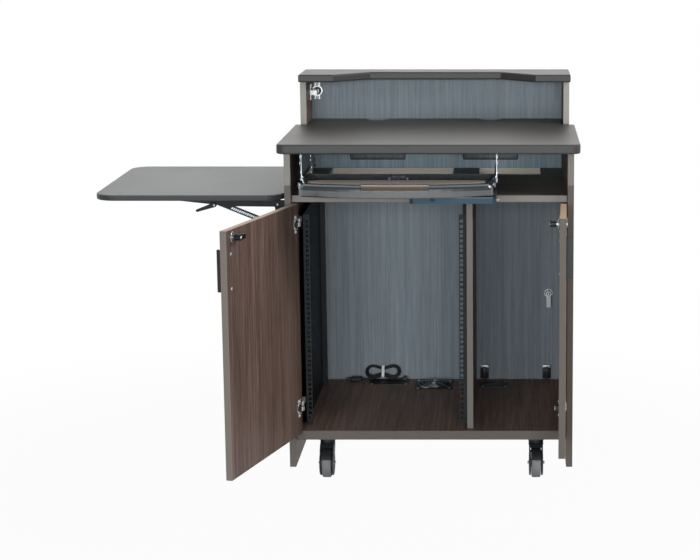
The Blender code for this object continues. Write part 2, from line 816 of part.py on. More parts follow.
def rack_rail(name, side):
    inner = RACK_CENTRE + side * RACK_OPENING / 2
    outer = inner + side * RACK_FLANGE
    top = RACK_BOTTOM + RACK_HEIGHT
    if side > 0:
        outer = DIVIDER_X - PANEL / 2 - SEAT
    x0, x1 = sorted((outer, outer - side * RACK_SHEET))
    web = block(name, (x0, RACK_FRONT, RACK_BOTTOM), (x1, RACK_REAR, top), BLACK_STEEL, podium)
    f0, f1 = sorted((inner, outer))
    flanges = [
        block(f"{name}_{end}_flange", (f0, y, RACK_BOTTOM), (f1, y + RACK_SHEET, top), BLACK_STEEL, podium)
        for end, y in (("front", RACK_FRONT), ("rear", RACK_REAR - RACK_SHEET))
    ]
    if side < 0:
        flanges.append(
            block(
                f"{name}_foot",
                (outer - RACK_FOOT, RACK_FRONT + 0.02, RACK_BOTTOM),
                (outer + RACK_SHEET, RACK_REAR - 0.02, RACK_BOTTOM + RACK_SHEET),
                BLACK_STEEL,
                podium,
            )
        )
    join(web, *flanges)
    column = RACK_CENTRE + side * RACK_HOLE_SPACING / 2
    bm = bmesh.new()
    for i in range(3):
        middle = Vector((0.0, 0.0, UNIT / 7 + i * UNIT * 5 / 14))
        grow = Matrix.Diagonal((RACK_HOLE, 6 * RACK_SHEET, RACK_HOLE, 1.0))
        bmesh.ops.create_cube(bm, size=1.0, matrix=Matrix.Translation(middle) @ grow)
    first = (column, RACK_FRONT, RACK_BOTTOM + RACK_BOTTOM_MARGIN)
    holes = piece(f"{name}_holes", bm, BLACK_STEEL, podium, first)
    repeat = holes.modifiers.new("units", "ARRAY")
    repeat.count = RACK_UNITS
    repeat.use_relative_offset = False
    repeat.use_constant_offset = True
    repeat.constant_offset_displace = (0.0, 0.0, UNIT)
    cut(web, holes)


def floor_fittings():
    low = BASE_TOP + SEAT
    for side, (x, y), (wide, deep) in (
        ("left", LEFT_PLATE, LEFT_PLATE_SIZE),
        ("right", RIGHT_PLATE, RIGHT_PLATE_SIZE),
    ):
        plate = block(
            f"{side}_cable_plate",
            (x - wide / 2, y - deep / 2, low),
            (x + wide / 2, y + deep / 2, low + PLATE_THICK),
            BLACK_PLASTIC,
            podium,
        )
        if side == "right":
            cut(plate, cable_slot("plate_slot", x, y, low - 0.01, low + 0.02))
    top = BASE_TOP - SEAT
    low = top - FAN_DEPTH
    half = FAN_SIZE / 2
    frame = block(
        "fan_frame",
        (FAN_X - half, FAN_Y - half, low),
        (FAN_X + half, FAN_Y + half, top),
        BLACK_PLASTIC,
        podium,
    )
    under = (FAN_X, FAN_Y, low - CUT_PAST)
    over = (FAN_X, FAN_Y, top + CUT_PAST)
    cut(frame, rod("fan_bore", under, over, FAN_BORE / 2, NICKEL, podium, 36))
    long = half - BITE / 2
    thin = FAN_STRUT / 2
    spokes = [
        block(
            f"fan_spoke_{i}",
            (FAN_X - across, FAN_Y - down, low),
            (FAN_X + across, FAN_Y + down, low + FAN_SEAT),
            BLACK_PLASTIC,
            podium,
        )
        for i, (across, down) in enumerate(((long, thin), (thin, long)))
    ]
    foot = (FAN_X, FAN_Y, low)
    seat = (FAN_X, FAN_Y, low + FAN_SEAT)
    hub = rod("fan_seat", foot, seat, FAN_HUB / 2, BLACK_PLASTIC, podium, 24)
    join(frame, *spokes, hub)
    axis = pivot("fan_axis", (FAN_X, FAN_Y, low + FAN_SEAT + SEAT), podium)
    rotor = rod(
        "fan_rotor",
        (FAN_X, FAN_Y, low + FAN_SEAT + SEAT),
        (FAN_X, FAN_Y, top - FAN_TIP),
        FAN_HUB / 2,
        BLACK_PLASTIC,
        axis,
        24,
    )
    middle = (low + FAN_SEAT + top - FAN_TIP) / 2
    for i in range(FAN_BLADES):
        bm = bmesh.new()
        inner, outer = FAN_HUB / 2 - FAN_ROOT, FAN_BORE / 2 - FAN_TIP
        grow = Matrix.Diagonal((outer - inner, FAN_CHORD, FAN_BLADE, 1.0))
        tilt = Matrix.Rotation(math.radians(32.0), 4, "X")
        out = Matrix.Translation(((inner + outer) / 2, 0.0, 0.0))
        spin = Matrix.Rotation(2 * math.pi * i / FAN_BLADES, 4, "Z")
        bmesh.ops.create_cube(bm, size=1.0, matrix=spin @ out @ tilt @ grow)
        join(rotor, piece(f"fan_blade_{i}", bm, BLACK_PLASTIC, axis, (FAN_X, FAN_Y, middle)))


def bowed_front(left, right, front, bow, steps):
    middle = (left + right) / 2
    half = (right - left) / 2
    return [
        (middle + half * (2 * i / steps - 1), front + bow * (2 * i / steps - 1) ** 2)
        for i in range(steps + 1)
    ]


def tray_outline():
    # The bow runs into a round corner at each side, on the same slope.
    middle = (TRAY_LEFT + TRAY_RIGHT) / 2
    half = (TRAY_RIGHT - TRAY_LEFT) / 2
    end = half
    for _ in range(8):
        turn = math.atan(2 * TRAY_BOW * end / half**2)
        end = half - TRAY_CORNER * (1 - math.sin(turn))
    depth = TRAY_BOW * (end / half) ** 2
    bow = bowed_front(middle - end, middle + end, TRAY_FRONT, depth, 16)
    centre_y = TRAY_FRONT + depth + TRAY_CORNER * math.cos(turn)
    centre_x = middle + end - TRAY_CORNER * math.sin(turn)
    corner = arc((centre_x, centre_y), TRAY_CORNER, math.degrees(turn) - 90, 0, 5)
    mirrored = [(2 * middle - x, y) for x, y in reversed(corner)]
    return mirrored[:-1] + bow + corner[1:]


def keyboard_tray():
    slide = pivot("keyboard_tray_slide", ((TRAY_LEFT + TRAY_RIGHT) / 2, TRAY_BACK, RUNNER_LOW), podium)
    top = TRAY_BOTTOM + TRAY_HEIGHT
    outline = tray_outline()
    outline += [(TRAY_RIGHT, TRAY_BACK), (TRAY_LEFT, TRAY_BACK)]
    tray = prism("keyboard_tray", outline, "Z", TRAY_BOTTOM, top, TRAY_PLASTIC, slide)
    soften_rim(tray, TRAY_ROUND, 4, NOSE_ROUND)
    wall = TRAY_WALL
    cut(
        tray,
        block(
            "tray_well",
            (TRAY_LEFT + 3 * wall, TRAY_FRONT + TRAY_BOW + TRAY_PALM, TRAY_BOTTOM + wall),
            (TRAY_RIGHT - 3 * wall, TRAY_BACK - wall, top + 0.01),
            TRAY_PLASTIC,
            slide,
        ),
        prism(
            "palm_hollow",
            bowed_front(TRAY_LEFT + 2 * wall, TRAY_RIGHT - 2 * wall, TRAY_FRONT + 3 * wall, TRAY_BOW, 16)
            + [
                (TRAY_RIGHT - 2 * wall, TRAY_FRONT + TRAY_BOW + TRAY_PALM - wall),
                (TRAY_LEFT + 2 * wall, TRAY_FRONT + TRAY_BOW + TRAY_PALM - wall),
            ],
            "Z",
            TRAY_BOTTOM - 0.01,
            top - wall,
            TRAY_PLASTIC,
            slide,
        ),
    )
    for side, edge in ((-1, TRAY_LEFT), (1, TRAY_RIGHT)):
        x0, x1 = sorted((edge - side * BITE / 2, edge + side * RUNNER_WIDTH))
        word = "left" if side < 0 else "right"
        join(
            tray,
            block(
                f"{word}_runner",
                (x0, RUNNER_FRONT, RUNNER_LOW),
                (x1, RUNNER_BACK, RUNNER_LOW + RUNNER_HEIGHT),
                TRAY_PLASTIC,
                slide,
            ),
        )
        hanger(f"{word}_tray_hanger", edge, side)
    mouse_back = MOUSE_FRONT + MOUSE_DEPTH
    mouse_top = TRAY_BOTTOM - MOUSE_DROP
    lip_top = mouse_top - MOUSE_THICK - MOUSE_DROP / 4
    for word, y, toward in (("front", MOUSE_FRONT, 1), ("back", mouse_back, -1)):
        y0, y1 = sorted((y - toward * SEAT, y - toward * (SEAT + GUIDE_WALL)))
        l0, l1 = sorted((y - toward * (SEAT + GUIDE_WALL), y + toward * GUIDE_LIP))
        x1 = TRAY_RIGHT - TRAY_ROUND
        join(
            tray,
            block(
                f"{word}_guide", (MOUSE_LEFT, y0, lip_top - GUIDE_LIP_THICK), (x1, y1, TRAY_BOTTOM + BITE),
                TRAY_PLASTIC, slide,
            ),
            block(
                f"{word}_guide_lip", (MOUSE_LEFT, l0, lip_top - GUIDE_LIP_THICK), (x1, l1, lip_top),
                TRAY_PLASTIC, slide,
            ),
        )
    glide = pivot("mouse_tray_slide", (MOUSE_LEFT, MOUSE_FRONT, mouse_top), slide)
    soften(
        block(
            "mouse_tray",
            (MOUSE_LEFT, MOUSE_FRONT, mouse_top - MOUSE_THICK),
            (MOUSE_RIGHT, mouse_back, mouse_top),
            TRAY_PLASTIC,
            glide,
        ),
        MOUSE_ROUND,
        2,
    )


def hanger(name, edge, side):
    # A channel folded round the tray's runner and hung from the worktop by its flange.
    inner = edge + side * (RUNNER_WIDTH + HANGER_CLEAR)
    outer = inner + side * HANGER_SHEET
    lip = edge + side * HANGER_GAP
    low = RUNNER_LOW - HANGER_CLEAR
    high = RUNNER_LOW + RUNNER_HEIGHT + HANGER_CLEAR
    back = HANGER_FRONT + HANGER_LENGTH
    top = WORKTOP_BOTTOM - SEAT

    def strip(label, a, b, z0, z1):
        x0, x1 = sorted((a, b))
        return block(label, (x0, HANGER_FRONT, z0), (x1, back, z1), ZINC, podium)

    web = strip(name, inner, outer, low - HANGER_SHEET, top)
    join(
        web,
        strip(f"{name}_lower_lip", outer, lip, low - HANGER_SHEET, low),
        strip(f"{name}_upper_lip", outer, lip, high, high + HANGER_SHEET),
        strip(f"{name}_flange", outer, outer - side * HANGER_FLANGE, top - HANGER_SHEET, top),
    )


def side_shelf():
    fold = pivot("side_shelf_fold", FOLD, podium)
    right = -HALF - SIDE_SHELF_GAP
    r = SIDE_SHELF_CORNER
    x0, x1, y0, y1 = SIDE_SHELF_LEFT, right, SIDE_SHELF_FRONT, SIDE_SHELF_REAR
    outline = []
    rounds = [
        ((x0 + r, y0 + r), 180),
        ((x1 - r, y0 + r), 270),
        ((x1 - r, y1 - r), 0),
        ((x0 + r, y1 - r), 90),
    ]
    for centre, start in rounds:
        outline += arc(centre, r, start, start + 90, 8)
    bottom = SIDE_SHELF_TOP - SIDE_SHELF_THICK
    soften_rim(prism("side_shelf", outline, "Z", bottom, SIDE_SHELF_TOP, LIGHT_GREY, fold), SHELF_ROUND, 2)
    for word, y in zip(("front", "rear"), BRACKET_Y):
        folding_bracket(word, y, fold, bottom)


def folding_bracket(word, y, fold, shelf_bottom):
    plate_x = -HALF - SEAT
    ears = STRAP + STRAP_GAP
    wall = block(
        f"{word}_wall_bracket",
        (plate_x - EAR_THICK, y - WALL_PLATE_WIDTH / 2, BRACE_Z - 2 * EAR_RADIUS),
        (plate_x, y + WALL_PLATE_WIDTH / 2, FOLD_Z + EAR_RADIUS),
        BLACK_STEEL,
        podium,
    )
    for label, side in (("near", -1), ("far", 1)):
        e0, e1 = sorted((y + side * (ears + STRAP_GAP), y + side * (ears + STRAP_GAP + EAR_THICK)))
        outline = [(plate_x - EAR_THICK / 2, BRACE_Z - EAR_RADIUS)]
        outline += [(plate_x - EAR_THICK / 2, FOLD_Z + EAR_RADIUS)]
        outline += arc((FOLD.x, FOLD.z), EAR_RADIUS, 90, 180, 5)
        outline += arc((BRACE.x, BRACE.z), EAR_RADIUS, 180, 270, 5)
        join(wall, prism(f"{word}_{label}_ear", outline, "Y", e0, e1, BLACK_STEEL, podium))
    reach = ears + STRAP_GAP + EAR_THICK + BITE
    for label, spot in (("fold", FOLD), ("brace", BRACE)):
        join(
            wall,
            rod(
                f"{word}_{label}_pin",
                (spot.x, y - reach, spot.z),
                (spot.x, y + reach, spot.z),
                PIN_RADIUS,
                ZINC,
                podium,
                12,
            ),
        )
    # The arm is screwed under the shelf. The brace swings beside it.
    arm_y0, arm_y1 = y - ears, y - STRAP_GAP
    arm_outline = [
        (FOLD.x - ARM_LENGTH, shelf_bottom - SEAT - ARM_HEIGHT / 3),
        (FOLD.x - ARM_LENGTH / 2, shelf_bottom - SEAT - ARM_HEIGHT),
    ]
    arm_outline += arc((FOLD.x, FOLD.z), ARM_HEIGHT / 3, 270, 360, 4)
    top = shelf_bottom - SEAT
    arm_outline += [(FOLD.x + ARM_HEIGHT / 3, top), (FOLD.x - ARM_LENGTH, top)]
    arm = prism(f"{word}_shelf_arm", arm_outline, "Y", arm_y0, arm_y1, BLACK_STEEL, fold)
    join(
        arm,
        block(
            f"{word}_arm_leaf",
            (FOLD.x - ARM_LENGTH, arm_y0 - ARM_FLANGE, top - ARM_FLANGE_THICK),
            (FOLD.x - 0.02, arm_y1, shelf_bottom - SEAT),
            BLACK_STEEL,
            fold,
        ),
    )
    cut(
        arm,
        rod(
            f"{word}_fold_bore",
            (FOLD.x, arm_y0 - BITE, FOLD.z),
            (FOLD.x, arm_y1 + BITE, FOLD.z),
            PIN_RADIUS + PIN_CLEAR,
            ZINC,
            fold,
            12,
        ),
    )
    swing = pivot(f"{word}_brace_axis", (BRACE.x, y, BRACE.z), podium)
    along = Vector((BRACE_REACH[0], 0.0, BRACE_REACH[1]))
    heading = math.degrees(math.atan2(along.z, along.x))
    end = BRACE + along
    strap = ARM_HEIGHT / 3
    outline = arc((BRACE.x, BRACE.z), strap, heading + 90, heading + 270, 8)
    outline += arc((end.x, end.z), strap, heading - 90, heading + 90, 8)
    brace = prism(f"{word}_brace", outline, "Y", y + STRAP_GAP, y + ears, BLACK_STEEL, swing)
    cut(
        brace,
        rod(
            f"{word}_brace_bore",
            (BRACE.x, y - BITE, BRACE.z),
            (BRACE.x, y + 2 * ears, BRACE.z),
            PIN_RADIUS + PIN_CLEAR,
            ZINC,
            swing,
            12,
        ),
    )
    if word == "front":
        release_lever(y, fold, arm, arm_y0)


def release_lever(y, fold, arm, arm_y0):
    pin = Vector((FOLD.x - ARM_LENGTH + LEVER_SETBACK, y, FOLD.z - LEVER_DROP))
    axis = pivot("release_lever_axis", pin, fold)
    tip = pin + Vector((LEVER_TIP[0], 0.0, LEVER_TIP[1]))
    heading = math.degrees(math.atan2(LEVER_TIP[1], LEVER_TIP[0]))
    outline = arc((pin.x, pin.z), LEVER_HEAD, heading + 90, heading + 270, 8)
    outline += arc((tip.x, tip.z), LEVER_END, heading - 90, heading + 90, 6)
    face = arm_y0 - STRAP_GAP
    lever = prism("release_lever", outline, "Y", face - STRAP, face, BLACK_STEEL, axis)
    cut(
        lever,
        rod(
            "lever_bore",
            (pin.x, face - CUT_PAST, pin.z),
            (pin.x, face + CUT_PAST, pin.z),
            PIN_RADIUS + PIN_CLEAR,
            ZINC,
            axis,
            12,
        ),
    )
    join(
        arm,
        rod(
            "lever_pin",
            (pin.x, face - STRAP - BITE, pin.z),
            (pin.x, arm_y0 + BITE, pin.z),
            PIN_RADIUS,
            ZINC,
            fold,
            12,
        ),
    )


def lathe(name, profile, centre, axis_turn, steps, look, parent):
    # The profile is (radius, height), turned about its own axis.
    bm = bmesh.new()
    corners = [bm.verts.new((r, 0.0, h)) for r, h in profile]
    edges = [bm.edges.new((corners[i - 1], corners[i])) for i in range(len(corners))]
    bmesh.ops.spin(
        bm,
        geom=corners + edges,
        cent=(0, 0, 0),
        axis=(0, 0, 1),
        dvec=(0, 0, 0),
        angle=2 * math.pi,
        steps=steps,
    )
    bmesh.ops.remove_doubles(bm, verts=bm.verts, dist=1e-6)
    bmesh.ops.transform(bm, matrix=axis_turn, verts=bm.verts)
    return piece(name, bm, look, parent, centre)


def caster(word, x, y):
    plate_top = BASE_BOTTOM - SEAT
    half = CASTER_PLATE / 2
    plate_low = plate_top - CASTER_PLATE_THICK
    plate = block(
        f"{word}_caster_plate",
        (x - half, y - half, plate_low),
        (x + half, y + half, plate_top),
        ZINC,
        podium,
    )
    race_low = (x, y, FORK_TOP + SEAT)
    join(plate, rod(f"{word}_race", race_low, (x, y, plate_low + BITE / 2), RACE_RADIUS, ZINC, podium, 24))
    swivel = pivot(f"{word}_caster_swivel", (x, y, FORK_TOP), podium)
    out = FORK_INSIDE / 2 + FORK_SHEET
    wheel_y = y - CASTER_TRAIL
    hub = WHEEL_RADIUS
    shoulder = FORK_TOP - FORK_SHOULDER
    outline = arc((wheel_y, hub), FORK_EYE, 180, 360, 6)
    outline += [(y + RACE_RADIUS, shoulder), (y + RACE_RADIUS, FORK_TOP)]
    outline += [(y - RACE_RADIUS - FORK_HEEL, FORK_TOP), (wheel_y - FORK_BACK, shoulder)]
    fork = prism(f"{word}_caster_fork", outline, "X", x - out, x + out, BLACK_PLASTIC, swivel)
    inner = FORK_INSIDE / 2
    cut(
        fork,
        block(
            f"{word}_wheel_space",
            (x - inner, y - 0.2, -0.01),
            (x + inner, y + 0.2, 2 * WHEEL_RADIUS + FORK_CROWN),
            BLACK_PLASTIC,
            swivel,
        ),
    )
    join(
        fork,
        rod(
            f"{word}_axle",
            (x - inner - BITE, wheel_y, hub),
            (x + inner + BITE, wheel_y, hub),
            AXLE_RADIUS,
            ZINC, swivel, 12,
        ),
    )
    roll = pivot(f"{word}_wheel_axle", (x, wheel_y, hub), swivel)
    w = WHEEL_WIDTH / 2
    bore = AXLE_RADIUS + PIN_CLEAR
    profile = [
        (bore, -w - HUB_BOSS),
        (HUB_RADIUS, -w - HUB_BOSS),
        (DISH_INNER, -w + DISH_DEPTH),
        (DISH_OUTER, -w + DISH_DEPTH),
        (DISH_RIM, -w),
        (WHEEL_RADIUS - TREAD_SHOULDER, -w),
        (WHEEL_RADIUS, -w + TREAD_ROUND),
    ]
    profile += [(r, -h) for r, h in reversed(profile)]
    lathe(
        f"{word}_wheel",
        profile,
        (x, wheel_y, hub),
        Matrix.Rotation(math.radians(90.0), 4, "Y"),
        24,
        GREY_RUBBER,
        roll,
    )


def hank_points():
    # A racetrack spiral: two layers, in on the rear one and out on the front one, drawn in at the tie.
    # It starts along the lower run at the gland and ends along the lower run at the plug.
    points = []
    turns = HANK_LOOPS + 0.25
    for i in range(round(turns * POINTS_PER_LOOP) + 1):
        turn = i / POINTS_PER_LOOP
        offset = HANK_FOLD + HANK_STEP * abs(turns / 2 - turn)
        rise = min(max((turn - turns / 2) * 4 + 0.5, 0.0), 1.0)
        depth = HANK_LAYER * rise * rise * (3 - 2 * rise)
        leg, along = divmod((turn % 1.0) * 4, 1.0)
        way = 1 if leg < 2 else -1
        if leg % 2 == 0:
            x = way * HANK_RUN * (0.5 - along)
            draw = HANK_WAIST * (1 + math.cos(2 * math.pi * x / HANK_RUN)) / 2
            points.append(Vector((x, -way * (offset - draw), depth)))
        else:
            angle = math.pi * along
            x = -way * (HANK_RUN / 2 + offset * math.sin(angle))
            points.append(Vector((x, -way * offset * math.cos(angle), depth)))
    # Both ends run on straight, clear of the folds.
    lead = Vector((HANK_FOLD + HANK_STEP * turns / 2 + 2 * CORD_DIAMETER, 0.0, 0.0))
    return [points[0] + lead] + points + [points[-1] - lead]


def least_gap(points, diameter):
    # Neighbours within half a loop along the cord are the same bend, not another turn.
    skip = POINTS_PER_LOOP // 3
    fine = []
    for a, b in zip(points, points[1:]):
        fine += [a.lerp(b, k / 4) for k in range(4)]
    least = min(
        (fine[i] - fine[j]).length for i in range(len(fine)) for j in range(i + 4 * skip, len(fine))
    )
    return least - diameter


def mains_lead():
    lean = Matrix.Rotation(HANK_LEAN, 3, "X")
    laid = [lean @ p for p in hank_points()]
    plate_top = BASE_TOP + SEAT + PLATE_THICK
    rest = plate_top + SEAT + CORD_DIAMETER / 2
    # The hank stands on the cable plate and leans on the rear door.
    lean_y = REAR_FACE - SEAT - CORD_DIAMETER / 2
    shift = Vector((HANK_X, lean_y - max(p.y for p in laid), rest - min(p.z for p in laid)))
    laid = [p + shift for p in laid]
    length = sum((b - a).length for a, b in zip(laid, laid[1:]))
    print(f"hank {length:.3f} m long, least gap to itself {1000 * least_gap(laid, CORD_DIAMETER):.2f} mm")
    curve = bpy.data.curves.new("mains_lead_hank", "CURVE")
    curve.dimensions = "3D"
    curve.bevel_depth = CORD_DIAMETER / 2
    curve.bevel_resolution = 1
    curve.use_fill_caps = True
    line = curve.splines.new("POLY")
    line.points.add(len(laid) - 1)
    for point, p in zip(line.points, laid):
        point.co = (*p, 1.0)
    curve.materials.append(BLACK_PLASTIC)
    made = bpy.data.objects.new("mains_lead_hank", curve)
    made.parent = podium
    parts.objects.link(made)
    start, end = laid[0], laid[-1]
    long, wide, high = GLAND
    gland = block(
        "cord_gland",
        (start.x + SEAT, start.y - wide / 2, plate_top - PLATE_THICK / 2),
        (start.x + SEAT + long, start.y + wide / 2, plate_top + high),
        BLACK_PLASTIC,
        podium,
    )
    join(bpy.data.objects["left_cable_plate"], gland)
    long, wide, high = PLUG
    low = BASE_TOP + SEAT
    right = end.x - SEAT
    plug = block(
        "mains_plug",
        (right - long, end.y - wide / 2, low),
        (right, end.y + wide / 2, low + high),
        BLACK_PLASTIC,
        podium,
    )
    soften(plug, PLUG_ROUND)
    out, thick, tall = PLUG_BLADE
    for i, side in enumerate((-1, 1)):
        y = end.y + side * PLUG_BLADE_GAP / 2
        middle = low + high / 2
        join(
            plug,
            block(
                f"plug_blade_{i}",
                (right - long - out, y - thick / 2, middle - tall / 2),
                (right - long + BITE, y + thick / 2, middle + tall / 2),
                ZINC,
                podium,
            ),
        )


def stand_on_footprint():
    bpy.context.view_layer.update()
    graph = bpy.context.evaluated_depsgraph_get()
    spots = []
    for made in parts.objects:
        if made.type == "EMPTY":
            continue
        shape = made.evaluated_get(graph)
        mesh = shape.to_mesh()
        spots += [shape.matrix_world @ v.co for v in mesh.vertices]
        shape.to_mesh_clear()
    middle = [(min(s[i] for s in spots) + max(s[i] for s in spots)) / 2 for i in range(2)]
    podium.location = (-middle[0], -middle[1], 0.0)


cabinet()
worktop()
top_cap()
front_door("left_door", -1, LEFT_DOOR_OPEN)
front_door("right_door", 1, RIGHT_DOOR_OPEN)
rear_door()
rack_rail("left_rack_rail", -1)
rack_rail("right_rack_rail", 1)
floor_fittings()
keyboard_tray()
side_shelf()
for row, y in zip(("front", "rear"), CASTER_Y):
    caster(f"{row}_left", -CASTER_X, y)
    caster(f"{row}_right", CASTER_X, y)
mains_lead()
stand_on_footprint()
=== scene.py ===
import math

import bmesh
import bpy
from mathutils import Matrix, Vector


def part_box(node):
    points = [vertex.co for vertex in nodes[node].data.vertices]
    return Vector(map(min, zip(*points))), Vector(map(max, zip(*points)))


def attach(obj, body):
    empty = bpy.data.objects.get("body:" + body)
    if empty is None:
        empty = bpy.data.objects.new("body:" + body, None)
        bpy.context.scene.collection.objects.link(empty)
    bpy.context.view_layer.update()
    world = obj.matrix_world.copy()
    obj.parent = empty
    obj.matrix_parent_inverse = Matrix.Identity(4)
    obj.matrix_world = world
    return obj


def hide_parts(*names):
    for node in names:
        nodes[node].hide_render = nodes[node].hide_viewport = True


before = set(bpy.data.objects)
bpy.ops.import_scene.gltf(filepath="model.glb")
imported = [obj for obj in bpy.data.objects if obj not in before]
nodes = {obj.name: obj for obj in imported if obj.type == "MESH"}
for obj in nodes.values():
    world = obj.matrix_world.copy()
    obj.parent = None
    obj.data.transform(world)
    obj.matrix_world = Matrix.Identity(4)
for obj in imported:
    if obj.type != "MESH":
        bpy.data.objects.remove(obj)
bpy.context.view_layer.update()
scene = bpy.context.scene
scene.view_settings.view_transform = "Standard"
cabinetAt = Vector((0.276, -0.103005, 0.0))  # middle of the cabinet's front, on the floor
toRight, toBack, toTop = (1.0, 0.0, 0.0), (0.0, 1.0, 0.0), (0.0, 0.0, 1.0)
toLeft, toFront, toFloor = (-1.0, 0.0, 0.0), (0.0, -1.0, 0.0), (0.0, 0.0, -1.0)
corners = [f"{row}_{side}" for row in ("front", "rear") for side in ("left", "right")]
print("podium frame loaded,", len(nodes), "nodes")


def cab(x, y, z):
    # a place given from the cabinet's front middle
    return cabinetAt + Vector((x, y, z))


def addObject(name, data):
    made = bpy.data.objects.new(name, data)
    scene.collection.objects.link(made)
    return made


# camera, fitted to the photograph
cameraView = {
    "at": (0.5081, -5.7973, 1.7044), "pitch": 79.2, "sensor": 36.0, "lens": 100.22, "shiftX": -0.2254,
}
camera = addObject("photoCamera", bpy.data.cameras.new("photoCamera"))
camera.data.sensor_width = cameraView["sensor"]
camera.data.lens = cameraView["lens"]
camera.data.shift_x = cameraView["shiftX"]
camera.location = cameraView["at"]
camera.rotation_euler = (math.radians(cameraView["pitch"]), 0.0, 0.0)
scene.camera = camera

# doors are placed shut and carried to their open pose
frontDoor = {"hinges": (0.789, 0.230), "armY": 0.060, "face": 0.0208, "inward": toBack}
doors = {
    "left_door": {
        "pin": Vector((-0.4033, 0.0032, 0.0)), "open": -105.8, "armX": -0.406, "cupX": -0.3845,
        "handleX": 0.0865, **frontDoor,
    },
    "right_door": {
        "pin": Vector((0.4033, 0.0032, 0.0)), "open": 88.0, "armX": 0.406, "cupX": 0.3845,
        "handleX": 0.1495, **frontDoor,
    },
    "rear_door": {
        "pin": Vector((-0.4223, 0.6887, 0.0)), "open": 0.0, "armX": -0.406, "cupX": -0.391,
        "hinges": (1.1183, 0.293), "armY": 0.6445, "face": 0.6837, "inward": toFront,
    },
}


def doorPlace(door):
    pin = doors[door]["pin"]
    turn = Matrix.Rotation(math.radians(doors[door]["open"]), 4, "Z")
    return Matrix.Translation(cabinetAt + pin) @ turn @ Matrix.Translation(-pin)


def onDoor(door, point, direction):
    # a place and a direction given on the shut door
    place = doorPlace(door)
    return place @ Vector(point), place.to_3x3() @ Vector(direction)


def doorOut(door):
    # the way a door's outer face looks at rest
    return tuple(doorPlace(door).to_3x3() @ Vector(toFront))


# node trees


class Value:
    # a node socket that does sums
    def __init__(self, graph, socket):
        self.graph = graph
        self.socket = socket

    def __add__(self, other):
        return self.graph.maths("ADD", self, other)

    __radd__ = __add__

    def __sub__(self, other):
        return self.graph.maths("SUBTRACT", self, other)

    def __rsub__(self, other):
        return self.graph.maths("SUBTRACT", other, self)

    def __mul__(self, other):
        return self.graph.maths("MULTIPLY", self, other)

    __rmul__ = __mul__

    def __gt__(self, other):
        return self.graph.maths("GREATER_THAN", self, other)

    def __abs__(self):
        return self.graph.maths("ABSOLUTE", self)


class Graph:
    # a node tree, and one method that adds any node
    def __init__(self, tree):
        self.tree = tree

    def feed(self, socket, value):
        if isinstance(value, Value):
            self.tree.links.new(value.socket, socket)
        else:
            socket.default_value = value

    def node(self, kind, settings=None, sockets=None, out=0):
        made = self.tree.nodes.new(kind)
        for key, value in (settings or {}).items():
            if key == "stops":
                marks = made.color_ramp.elements
                while len(marks) < len(value):
                    marks.new(1.0)
                for mark, (place, colour) in zip(marks, value):
                    mark.position = place
                    mark.color = colour
            else:
                setattr(made, key, value)
        for key, value in (sockets or {}).items():
            self.feed(made.inputs[key], value)
        return Value(self, made.outputs[out])

    def spot(self, kind="Object"):
        return self.node("ShaderNodeTexCoord", out=kind)

    def ray(self, kind):
        return self.node("ShaderNodeLightPath", out=kind)

    def maths(self, operation, *terms):
        return self.node("ShaderNodeMath", {"operation": operation}, dict(enumerate(terms)))

    def vectors(self, operation, *terms):
        return self.node("ShaderNodeVectorMath", {"operation": operation}, dict(enumerate(terms)), "Value")

    def fade(self, value, start, end):
        # a soft step from 0 at the start to 1 at the end
        reach = {"Value": value, "From Min": start, "From Max": end}
        return self.node("ShaderNodeMapRange", {"interpolation_type": "SMOOTHSTEP"}, reach)


class Finish(Graph):
    # a material on one principled shader
    def __init__(self, name):
        self.material = bpy.data.materials.new(name)
        self.material.use_nodes = True
        super().__init__(self.material.node_tree)
        self.shader = self.tree.nodes["Principled BSDF"]

    def noise(self, scale, detail, roughness, shift=(0.0, 0.0, 0.0)):
        # the scale is one number, or one for each axis
        stretch = (scale,) * 3 if isinstance(scale, float) else scale
        lay = {"Vector": self.spot(), "Location": shift, "Scale": stretch}
        spot = self.node("ShaderNodeMapping", {}, lay)
        grit = {"Vector": spot, "Scale": 1.0, "Detail": detail, "Roughness": roughness}
        return self.node("ShaderNodeTexNoise", {}, grit)

    def mix(self, factor, first, second):
        return self.node("ShaderNodeMix", {"data_type": "RGBA"}, {0: factor, 6: first, 7: second}, 2)

    def ramp(self, value, stops, colours):
        return self.node("ShaderNodeValToRGB", {"stops": list(zip(stops, colours))}, {"Fac": value})

    def facing(self, direction):
        # how far the surface faces along a direction of the rest pose
        return self.vectors("DOT_PRODUCT", self.spot("Normal"), direction)

    def along(self, direction):
        # how far the place lies along a direction of the rest pose
        return self.vectors("DOT_PRODUCT", self.spot(), direction)

    def bump(self, height, strength, distance):
        relief = {"Strength": strength, "Distance": distance, "Height": height}
        self.feed(self.shader.inputs["Normal"], self.node("ShaderNodeBump", {}, relief))

    def set(self, **sockets):
        for key, value in sockets.items():
            self.feed(self.shader.inputs[key.replace("_", " ")], value)
        return self.material


def plainMesh(made):
    # the object's mesh with its modifiers worked in
    plain = bpy.data.meshes.new_from_object(made.evaluated_get(bpy.context.evaluated_depsgraph_get()))
    made.modifiers.clear()
    made.data = plain
    return plain


